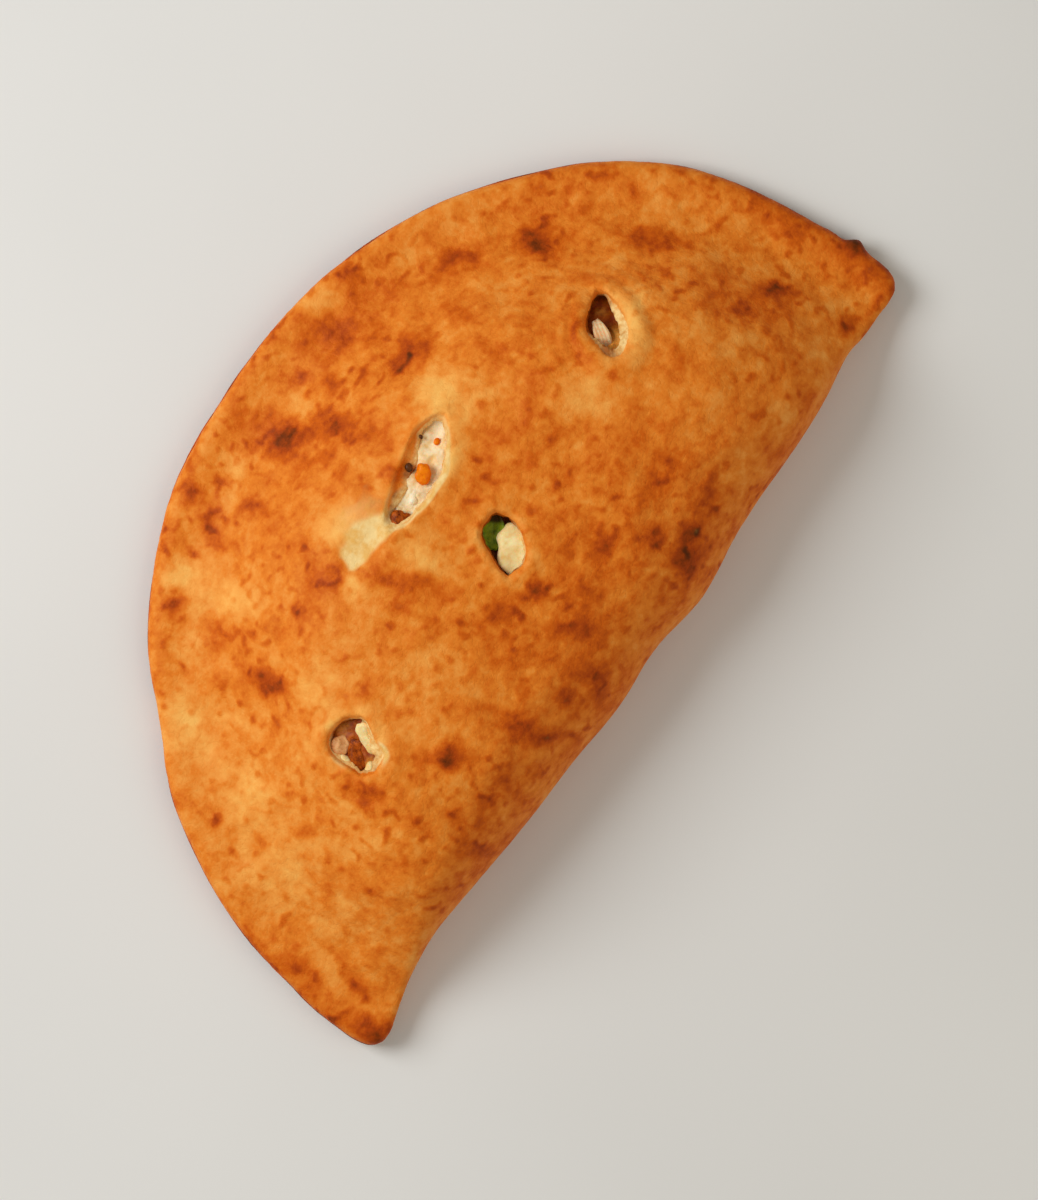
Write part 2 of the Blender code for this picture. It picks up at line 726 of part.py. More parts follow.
MORSELS = (
    Morsel(
        name="cheese_cube",
        middle=(5.6 * MM, -20.1 * MM),
        size=(10.2 * MM, 7.0 * MM, 3.8 * MM),
        turn=38,
        rough=0.16,
        square=0.55,
        colour=CHEESE_COLOUR,
        seed=4,
    ),
    Morsel(
        name="tomato_dice",
        middle=(9.1 * MM, 12.1 * MM),
        size=(5.4 * MM, 4.6 * MM, 3.0 * MM),
        turn=20,
        rough=0.20,
        square=0.45,
        colour=TOMATO_COLOUR,
        seed=6,
    ),
    Morsel(
        name="sausage_crumb",
        middle=(-3.1 * MM, 11.5 * MM),
        size=(5.6 * MM, 4.6 * MM, 3.0 * MM),
        turn=15,
        rough=0.35,
        square=0.25,
        colour=SAUSAGE_COLOUR,
        seed=9,
    ),
    Morsel(
        name="olive_fleck",
        middle=(8.4 * MM, 16.4 * MM),
        size=(2.6 * MM, 2.1 * MM, 1.8 * MM),
        turn=40,
        rough=0.20,
        square=0.20,
        colour=OLIVE_COLOUR,
        seed=2,
        divisions=1,
    ),
    Morsel(
        name="cheese_shard",
        middle=(-60.8 * MM, -16.0 * MM),
        size=(10.4 * MM, 4.4 * MM, 4.6 * MM),
        turn=62,
        rough=0.50,
        square=0.20,
        colour=CHEESE_COLOUR,
        seed=5,
    ),
    Morsel(
        name="ham_bit",
        middle=(-65.8 * MM, -12.2 * MM),
        size=(4.7 * MM, 4.0 * MM, 3.6 * MM),
        turn=70,
        rough=0.35,
        square=0.35,
        colour=HAM_COLOUR,
        seed=3,
    ),
    Morsel(
        name="sausage_sliver",
        middle=(-65.8 * MM, -17.4 * MM),
        size=(8.0 * MM, 2.8 * MM, 2.2 * MM),
        turn=44,
        rough=0.30,
        square=0.10,
        colour=SAUSAGE_COLOUR,
        seed=7,
    ),
)


def make_morsel(morsel):
    """A small lump, laid on the filling."""
    mesh = rested(placed(lump(morsel), morsel.middle, morsel.turn))
    return as_object(mesh, morsel.name, morsel.colour, 0.45)


def leaf_rise(share, side):
    """The leaf's waves: it cups along its rib and lifts at its tip."""
    return (0.9 * side * side + 1.6 * share * share + 0.35 * math.sin(7 * share + 2 * side)) * MM


def onion_rise(share, side):
    """The onion slice arches over from end to end."""
    return (3.4 * math.sin(math.pi * share) ** 0.8 + 0.3 * side) * MM


def make_leaf():
    """The green leaf at the end of the oval vent."""
    leaf = sheet(LEAF_LENGTH, LEAF_WIDTH, LEAF_THICKNESS, leaf_rise)
    return as_object(laid_over(placed(leaf, LEAF_MIDDLE, LEAF_TURN)), "basil_leaf", LEAF_COLOUR, 0.40)


def make_onion():
    """The curled slice of onion in the round vent."""
    slice_ = sheet(ONION_LENGTH, ONION_WIDTH, ONION_THICKNESS, onion_rise, across=3, along=10)
    return as_object(laid_over(placed(slice_, ONION_MIDDLE, ONION_TURN)), "onion_curl", ONION_COLOUR, 0.35)


def main():
    """Clears the scene and builds every piece."""
    for old in list(bpy.data.objects):
        bpy.data.objects.remove(old)
    make_dough()
    make_filling()
    for morsel in MORSELS:
        make_morsel(morsel)
    make_leaf()
    make_onion()


main()
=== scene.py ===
"""A baked panzerotto, dressed for close views: browned dough, four torn vents and what shows in them.

Metres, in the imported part's frame: +X along the fold, +Y to the sealed edge, +Z up.
"""

import logging
import math
from collections.abc import Callable, Iterable, Iterator
from contextlib import contextmanager
from dataclasses import dataclass, field
from enum import Enum

import bpy
import numpy as np
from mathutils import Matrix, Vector, kdtree, noise
from mathutils.bvhtree import BVHTree


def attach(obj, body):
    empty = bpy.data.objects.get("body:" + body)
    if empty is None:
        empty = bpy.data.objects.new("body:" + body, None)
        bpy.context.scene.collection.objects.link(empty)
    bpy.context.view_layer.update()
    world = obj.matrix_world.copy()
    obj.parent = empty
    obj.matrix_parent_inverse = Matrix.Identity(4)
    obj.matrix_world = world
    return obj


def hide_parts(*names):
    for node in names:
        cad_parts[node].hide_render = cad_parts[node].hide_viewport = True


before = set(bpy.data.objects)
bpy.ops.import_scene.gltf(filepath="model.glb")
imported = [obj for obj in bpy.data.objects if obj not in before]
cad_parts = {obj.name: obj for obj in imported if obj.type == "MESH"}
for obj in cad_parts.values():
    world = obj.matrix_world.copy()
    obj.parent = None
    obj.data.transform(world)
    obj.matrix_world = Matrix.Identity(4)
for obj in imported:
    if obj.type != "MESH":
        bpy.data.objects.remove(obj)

MM = 0.001
LOG = logging.getLogger("panzerotto")

Array = np.ndarray
Colour = tuple[float, float, float]
Piece = bpy.types.Object
Socket = bpy.types.NodeSocket
Material = bpy.types.Material


# ---- bench: working on one piece at a time


def take_up(piece: Piece) -> None:
    """Makes a piece the only selected one, and the active one.

    Args:
        piece: The piece.
    """
    bpy.ops.object.select_all(action="DESELECT")
    piece.select_set(True)
    bpy.context.view_layer.objects.active = piece


@contextmanager
def editing(piece: Piece, faces: Array | None = None) -> Iterator[None]:
    """Edit mode on a piece, with some of its faces selected.

    Args:
        piece: The piece to edit.
        faces: True for each face to select, or nothing for all of them.
    """
    take_up(piece)
    chosen = np.ones(len(piece.data.polygons), bool) if faces is None else faces
    bpy.ops.object.mode_set(mode="EDIT")
    bpy.ops.mesh.select_mode(type="FACE")
    bpy.ops.mesh.select_all(action="DESELECT")
    bpy.ops.object.mode_set(mode="OBJECT")
    piece.data.polygons.foreach_set("select", chosen)
    bpy.ops.object.mode_set(mode="EDIT")
    try:
        yield
    finally:
        bpy.ops.object.mode_set(mode="OBJECT")


def split_faces(piece: Piece, cuts: int, smoothness: float, faces: Array | None = None) -> None:
    """Splits the faces that are marked True, or all of them, into smaller ones that bulge a little."""
    with editing(piece, faces):
        bpy.ops.mesh.subdivide(number_cuts=cuts, smoothness=smoothness)


def thin_faces(piece: Piece, share: float, faces: Array) -> None:
    """Thins the faces that are marked True down to a share of them."""
    with editing(piece, faces):
        bpy.ops.mesh.decimate(ratio=share)


def add_shape(add: Callable[..., object], name: str, **settings: object) -> Piece:
    """Adds a basic shape, with its place and size applied to its mesh.

    Args:
        add: The operator that adds it.
        name: The new piece's name.
        **settings: The operator's settings by name.

    Returns:
        The new piece.
    """
    bpy.ops.object.select_all(action="DESELECT")
    add(**settings)
    piece = bpy.context.active_object
    piece.name = name
    bpy.ops.object.transform_apply(location=True, rotation=True, scale=True)
    return piece


def apply_modifier(piece: Piece, kind: str, **settings: object) -> None:
    """Puts a modifier on a piece and applies it.

    Args:
        piece: The piece to change.
        kind: The modifier's type.
        **settings: The modifier's settings by name.
    """
    take_up(piece)
    modifier = piece.modifiers.new(kind.lower(), kind)
    for name, value in settings.items():
        setattr(modifier, name, value)
    bpy.ops.object.modifier_apply(modifier=modifier.name)


def copy_of_node(node: str, name: str) -> Piece:
    """A merged copy of a CAD node, in the same place.

    Args:
        node: The CAD node's name.
        name: The new piece's name.

    Returns:
        The new piece, with no material.
    """
    piece = bpy.data.objects.new(name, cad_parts[node].data.copy())
    piece.data.name = name
    piece.data.materials.clear()
    bpy.context.scene.collection.objects.link(piece)
    with editing(piece):
        bpy.ops.mesh.remove_doubles(threshold=0.001 * MM)
        bpy.ops.mesh.customdata_custom_splitnormals_clear()
    return piece


def read_rows(piece: Piece, kept: str, name: str) -> Array:
    """Three numbers for each vertex or face of a piece.

    Args:
        piece: The piece.
        kept: Where its mesh keeps them.
        name: Their name there.

    Returns:
        The numbers, one row each.
    """
    source = getattr(piece.data, kept)
    flat = np.empty(len(source) * 3, np.float32)
    source.foreach_get(name, flat)
    return flat.reshape(-1, 3).astype(float)


def vertices_of(piece: Piece) -> tuple[Array, Array]:
    """The places of a piece's vertices and the normals there, one row each."""
    return read_rows(piece, "vertices", "co"), read_rows(piece, "vertex_normals", "vector")


def faces_of(piece: Piece) -> tuple[Array, Array]:
    """The middles of a piece's faces and their normals, one row each."""
    return read_rows(piece, "polygons", "center"), read_rows(piece, "polygons", "normal")


def move_vertices(piece: Piece, places: Array) -> None:
    """Puts a piece's vertices at the places, one row each."""
    piece.data.vertices.foreach_set("co", places.astype(np.float32).ravel())
    piece.data.update()


def mark_vertices(piece: Piece, **marks: Array) -> None:
    """Keeps numbers at a piece's vertices, which its material reads by their names.

    Args:
        piece: The piece.
        **marks: One number per vertex under each name.
    """
    for name, values in marks.items():
        attribute = piece.data.attributes.new(name, "FLOAT", "POINT")
        attribute.data.foreach_set("value", values.astype(np.float32))


def dress(piece: Piece, material: Material) -> None:
    """Gives a piece its material and smooth shading.

    Args:
        piece: The piece.
        material: The material.
    """
    piece.data.materials.clear()
    piece.data.materials.append(material)
    piece.data.shade_smooth()


def settle(piece: Piece, material: Material, slot: str, *nodes: str) -> None:
    """Dresses a finished piece and makes it part of the object.

    Args:
        piece: The piece, at its place.
        material: Its material.
        slot: Not used.
        *nodes: The CAD nodes that it stands for.
    """
    dress(piece, material)
    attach(piece, "root")
    if nodes:
        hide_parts(*nodes)
    piece.data.calc_loop_triangles()
    LOG.info("%s: %d triangles, stands for %s", piece.name, len(piece.data.loop_triangles), nodes or "nothing")


# ---- fields: numbers over a piece's points


def eased(values: Array, low: float, high: float) -> Array:
    """0 below low, 1 above high, and a smooth rise between them."""
    share = np.clip((values - low) / (high - low), 0, 1)
    return share * share * (3 - 2 * share)


def hump(values: Array, middle: float, width: float) -> Array:
    """A smooth hump of height 1 with the given half width."""
    return np.exp(-(((values - middle) / width) ** 2))


def turned(offset: Array, turn: float, length: float = 1, width: float = 1) -> tuple[Array, Array]:
    """How many lengths points in plan lie along a direction in degrees from +X, and how many widths across it."""
    c, s = math.cos(math.radians(turn)), math.sin(math.radians(turn))
    return (offset[:, 0] * c + offset[:, 1] * s) / length, (offset[:, 1] * c - offset[:, 0] * s) / width


def total(fields: Iterable, *terms: Array) -> Array | int:
    """The sum of what the fields give over the terms, or 0 without any."""
    return sum(one.over(*terms) for one in fields)


@dataclass(frozen=True)
class Layer:
    """One layer of smooth random lumps: how long its waves are, how high, and how it is seeded."""

    wave: float
    height: float
    seed: int
    creased: bool = False

    def over(self, points: Array) -> Array:
        """The lumps over a piece.

        Args:
            points: Points of the piece, one row each.

        Returns:
            The height at each point, which a creased layer takes below zero along its creases.
        """
        shift = np.array([self.seed * 3.71, self.seed * 1.93, self.seed * 2.57])
        values = np.array([noise.noise(Vector(point)) for point in points / self.wave + shift])
        if self.creased:
            values = 2 * abs(values) - 0.5
        return self.height * values


@dataclass(frozen=True)
class Patch:
    """An oval patch of the skin with soft edges. Places and sizes are in mm, and turn is in degrees from +X."""

    x: float
    y: float
    length: float
    width: float
    turn: float
    amount: float

    def over(self, plan: Array) -> Array:
        """The patch's amount at each point of the plan.

        Args:
            plan: The points, one row each.

        Returns:
            The amounts.
        """
        sizes = (self.length / 2 * MM, self.width / 2 * MM)
        along, across = turned(plan - np.array([self.x, self.y]) * MM, self.turn, *sizes)
        return self.amount * np.exp(-0.7 * (along**2 + across**2))


@dataclass(frozen=True)
class Tear:
    """A patch of the skin with straight sides and soft edges, in mm. Its corners run anticlockwise."""

    corners: tuple[tuple[float, float], ...]
    edge: float

    def over(self, plan: Array) -> Array:
        """How much each point of the plan belongs to it.

        Args:
            plan: The points, one row each.

        Returns:
            A share from 0 to 1 for each.
        """
        corners = np.array(self.corners) * MM
        sides = np.roll(corners, -1, axis=0) - corners
        outwards = np.stack([sides[:, 1], -sides[:, 0]], axis=1) / np.linalg.norm(sides, axis=1)[:, None]
        away = ((plan[:, None] - corners) * outwards).sum(axis=2).max(axis=1)
        return 1 - eased(away, -self.edge * MM, self.edge * MM)


@dataclass(frozen=True)
class Pull:
    """Where the dough's edge is drawn sideways, by right along +X and up along +Y. All of it is in mm."""

    x: float
    y: float
    right: float
    up: float
    reach: float

    def over(self, plan: Array) -> Array:
        """How far each point of the plan moves, one row each."""
        away = np.linalg.norm(plan - np.array([self.x, self.y]) * MM, axis=1) / (self.reach * MM)
        return np.exp(-(away**2))[:, None] * np.array([self.right, self.up]) * MM


@dataclass(frozen=True)
class Sector:
    """Something on one side of a vent. Its direction and spread are in degrees, from +X."""

    towards: float
    spread: float
    amount: float

    def profile(self, distance: Array) -> Array:
        """How it changes with distance: not at all."""
        return np.ones_like(distance)

    def over(self, bearing: Array, distance: Array) -> Array:
        """Its amount at each bearing, in radians, and distance."""
        turn = (np.degrees(bearing) - self.towards + 180) % 360 - 180
        return self.amount * hump(turn, 0, self.spread) * self.profile(distance)


@dataclass(frozen=True)
class Ledge(Sector):
    """A stretch of a vent's wall that comes in under the opening, between two depths under the skin."""

    top: float
    bottom: float

    def profile(self, distance: Array) -> Array:
        """How much of the ledge there is at each depth."""
        return eased(distance, self.top, self.bottom)


@dataclass(frozen=True)
class Crease(Sector):
    """A fold of the skin that runs round part of a vent: a ridge, or a groove where its amount is below zero."""

    away: float
    width: float

    def profile(self, distance: Array) -> Array:
        """How much of the fold there is at each distance from the vent's edge."""
        return hump(distance, self.away, self.width)


@dataclass(frozen=True)
class Rise(Sector):
    """Where the filling lies higher along a vent's edge, or deeper if its amount is below zero."""

    inner: float
    outer: float

    def profile(self, distance: Array) -> Array:
        """How much of the rise there is at each distance inside the vent's edge."""
        return 1 - eased(distance, self.outer, self.inner)


def sized(kind: type[Sector], *rows: tuple[float, ...]) -> tuple[Sector, ...]:
    """Sectors of one kind, one for each row: direction and spread in degrees, then sizes in mm."""
    return tuple(kind(towards, spread, *(size * MM for size in sizes)) for towards, spread, *sizes in rows)


@dataclass(frozen=True)
class Vent:
    """A torn opening in the top. turn is the direction of its long axis, in degrees from +X."""

    middle: tuple[float, float]
    length: float
    width: float
    turn: float
    corner: float
    taper: float
    ragged: float
    seed: int
    ripple: float
    sunk: float  # how deep under the skin the filling lies in it
    curd: float  # how lumpy the filling is in it
    sauce: float  # how much brown sauce covers the filling in it, from 0 to 1
    edge: tuple[float, ...]  # how far its torn edge lies from the middle, in mm, every 10 degrees from +X
    ledges: tuple[Sector, ...] = ()
    creases: tuple[Sector, ...] = ()
    soaks: tuple[Sector, ...] = ()  # where its wall is darkened by sauce, and painted shade on its shaded sides
    rims: tuple[Sector, ...] = ()  # where the skin is pale along its edge: pale torn dough, and partly painted highlight on a vent's lit side
    rises: tuple[Sector, ...] = ()
    lip: float = 0.4 * MM
    ring: tuple[float, float] = (2 * MM, 9 * MM)  # where the skin round it is measured
    ring_part: float = 30  # degrees
    ring_depth: float = 5 * MM

    def reach(self, angle: Array) -> Array:
        """Distance from the middle to the edge of the solid's opening.

        Args:
            angle: Directions, counted from the long axis.

        Returns:
            The distance in each direction.
        """
        along = abs(np.cos(angle)) / (self.length / 2)
        across = abs(np.sin(angle)) / (self.width / 2)
        span = (along**self.corner + across**self.corner) ** (-1 / self.corner)
        narrowing = 1 - self.taper * abs(np.sin(angle)) * np.cos(angle)
        tear = sum(np.sin(k * angle + self.seed * k * k) / k for k in (2, 3, 5, 7))
        return span * narrowing * (1 + self.ragged * tear)

    def offset(self, plan: Array) -> Array:
        """From the vent's middle to each point of the plan."""
        return plan - np.array(self.middle)

    def bearing(self, plan: Array) -> Array:
        """The direction of each point from the middle, from +X."""
        offset = self.offset(plan)
        return np.arctan2(offset[:, 1], offset[:, 0])

    def inwards(self, plan: Array) -> Array:
        """The direction from each point to the nearest place on the vent's long axis.

        Args:
            plan: The points, one row each.

        Returns:
            A direction in plan for each, one row each.
        """
        angle = math.radians(self.turn)
        axis = np.array([math.cos(angle), math.sin(angle)])
        half = (self.length - self.width) / 2
        along = np.clip(self.offset(plan) @ axis, -half, half)
        away = along[:, None] * axis - self.offset(plan)
        return away / np.maximum(np.linalg.norm(away, axis=1), 0.1 * MM)[:, None]

    def torn_edge(self, bearing: Array) -> Array:
        """Distance from the middle to the torn edge, in directions counted from +X."""
        marks = np.radians(np.arange(len(self.edge)) * 360 / len(self.edge))
        return np.interp(bearing, marks, np.array(self.edge) * MM, period=2 * math.pi)

    def outside(self, plan: Array, torn: bool = False) -> Array:
        """How far points lie outside the opening, or less than zero inside it.

        Args:
            plan: The points, one row each.
            torn: Whether the opening is the torn one, not the solid's.

        Returns:
            The distance of each point.
        """
        bearing = self.bearing(plan)
        edge = self.torn_edge(bearing) if torn else self.reach(bearing - math.radians(self.turn))
        return np.linalg.norm(self.offset(plan), axis=1) - edge

    def skin_over(self, plan: Array) -> Array:
        """How high the skin would run over the vent, from the dough round it.

        Args:
            plan: Points in plan, one row each.

        Returns:
            The skin's height over each.
        """
        corners = read_rows(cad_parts["dough"], "vertices", "co")
        away = self.outside(corners[:, :2])
        ring = corners[(away > self.ring[0]) & (away < self.ring[1])]
        bins = (self.bearing(ring[:, :2]) / math.radians(self.ring_part)).astype(int)
        tops = np.array([ring[bins == number][:, 2].max() for number in bins])
        upper = ring[ring[:, 2] > tops - self.ring_depth]
        spread = np.column_stack([self.offset(upper[:, :2]), np.ones(len(upper))])
        slope = np.linalg.lstsq(spread, upper[:, 2], rcond=None)[0]
        return np.column_stack([self.offset(plan), np.ones(len(plan))]) @ slope


ROUND_VENT = Vent(
    middle=(71.7 * MM, -6.6 * MM),
    length=19.4 * MM,
    width=12.0 * MM,
    turn=50,
    corner=2.0,
    taper=0.30,
    ragged=0.04,
    seed=3,
    ripple=0.20 * MM,
    sunk=6.5 * MM,
    curd=0.5,
    sauce=1.0,
    edge=(
        6.3, 6.8, 7.5, 8.7, 9.3, 9.4, 8.3, 7.5, 6.9, 6.4, 6.2, 6.0, 5.9, 5.8, 5.7, 5.7, 5.7, 5.8,
        6.1, 6.5, 7.2, 8.1, 8.9, 9.4, 9.1, 8.5, 7.8, 7.2, 6.7, 6.3, 6.0, 5.7, 5.6, 5.6, 5.7, 5.9,
    ),
    ledges=sized(Ledge, (-5, 38, 1.8, 0.3, 2.0), (-75, 50, 1.7, 0.5, 2.4), (215, 40, 1.2, 0.8, 3.0)),
    creases=sized(
        Crease,
        (-52, 62, 0.75, 3.3, 1.7),
        (-30, 60, -0.22, 7.4, 1.7),
        (135, 34, -0.5, 4.6, 1.0),
        (165, 50, -0.28, 8.2, 1.2),
        (170, 55, -0.22, 12.0, 1.3),
    ),
    soaks=(Sector(100, 75, 1.0), Sector(-140, 35, 0.5)),
    rises=sized(Rise, (-108, 34, 4.2, 7.5, 2.5)),
)
LONG_VENT = Vent(
    middle=(9.0 * MM, 13.3 * MM),
    length=35.0 * MM,
    width=12.0 * MM,
    turn=8,
    corner=1.7,
    taper=0.05,
    ragged=0.03,
    seed=5,
    ripple=0.05 * MM,
    sunk=2.6 * MM,
    curd=0.9,
    sauce=0.0,
    edge=(
        13.3, 15.8, 15.5, 13.3, 11.2, 9.0, 7.4, 6.4, 5.8, 5.5, 5.4, 5.4, 5.6, 6.0, 6.8, 7.8, 9.3, 12.5,
        16.1, 16.9, 14.5, 10.9, 9.1, 7.9, 6.8, 6.1, 5.7, 5.6, 5.7, 6.0, 6.4, 6.8, 7.2, 7.9, 9.0, 10.9,
    ),
    ledges=sized(Ledge, (80, 42, 3.9, 0.3, 1.8), (150, 34, 3.4, 0.3, 1.8)),
    creases=sized(Crease, (-65, 80, 0.35, 2.6, 1.6)),
    soaks=(Sector(125, 60, 0.72),),
    rims=(Sector(-80, 95, 1.6),),
    rises=sized(Rise, (112, 62, -2.6, 4.6, 2.0)),
)
OVAL_VENT = Vent(
    middle=(6.3 * MM, -17.2 * MM),
    length=19.0 * MM,
    width=11.8 * MM,
    turn=47,
    corner=2.1,
    taper=0.05,
    ragged=0.02,
    seed=2,
    ripple=0.04 * MM,
    sunk=6.8 * MM,
    curd=0.3,
    sauce=1.0,
    edge=(
        5.9, 6.5, 7.0, 7.5, 7.9, 8.6, 8.6, 8.1, 7.9, 7.5, 7.2, 6.9, 6.4, 6.0, 5.7, 5.4, 5.3, 5.5,
        5.9, 6.6, 7.4, 8.5, 9.5, 8.7, 8.4, 8.0, 7.5, 6.9, 6.4, 5.9, 5.6, 5.3, 5.2, 5.2, 5.2, 5.5,
    ),
    soaks=(Sector(175, 80, 1.1), Sector(45, 60, 1.0)),
)
TORN_VENT = Vent(
    middle=(-63.7 * MM, -15.6 * MM),
    length=20.0 * MM,
    width=13.2 * MM,
    turn=58,
    corner=2.2,
    taper=-0.10,
    ragged=0.08,
    seed=8,
    ripple=0.16 * MM,
    sunk=3.4 * MM,
    curd=0.7,
    sauce=0.85,
    edge=(
        6.4, 7.3, 8.1, 8.6, 8.6, 8.9, 8.9, 8.5, 8.4, 8.4, 8.3, 8.2, 8.1, 7.7, 7.1, 6.6, 6.2, 6.0,
        5.9, 5.9, 6.2, 6.7, 7.6, 7.8, 7.9, 8.2, 7.8, 7.8, 7.8, 7.7, 7.0, 6.2, 5.7, 5.6, 5.8, 6.0,
    ),
    ledges=sized(Ledge, (-62, 45, 2.4, 0.5, 3.2), (165, 50, 2.0, 0.4, 3.0)),
    creases=sized(
        Crease,
        (118, 28, 0.6, 2.2, 1.4),
        (-35, 60, -0.28, 8.0, 1.5),
        (-60, 60, -0.22, 12.5, 1.5),
        (190, 50, -0.3, 5.0, 1.3),
    ),
    soaks=(Sector(75, 40, 0.7), Sector(-110, 35, 0.4)),
    rims=(Sector(-62, 30, 1.1), Sector(160, 30, 0.7)),
)
VENTS = (ROUND_VENT, LONG_VENT, OVAL_VENT, TORN_VENT)

# The shallow tear that runs on from the long vent, and where the skin beside it is torn too.
TROUGH = Tear(
    ((-5.0, 14.4), (-11.5, 18.9), (-16.5, 20.5), (-22.6, 18.4), (-24.5, 14.8), (-23.6, 12.5), (-6.0, 9.4)), 1.6
)
TROUGH_SHADES = (
    Patch(-11.0, 21.4, 17.0, 7.0, -22, 0.5),
    Patch(-17.6, 18.6, 9.0, 3.5, 14, -0.2),
    Patch(-12.9, 12.8, 5.0, 4.0, 0, 0.15),
)

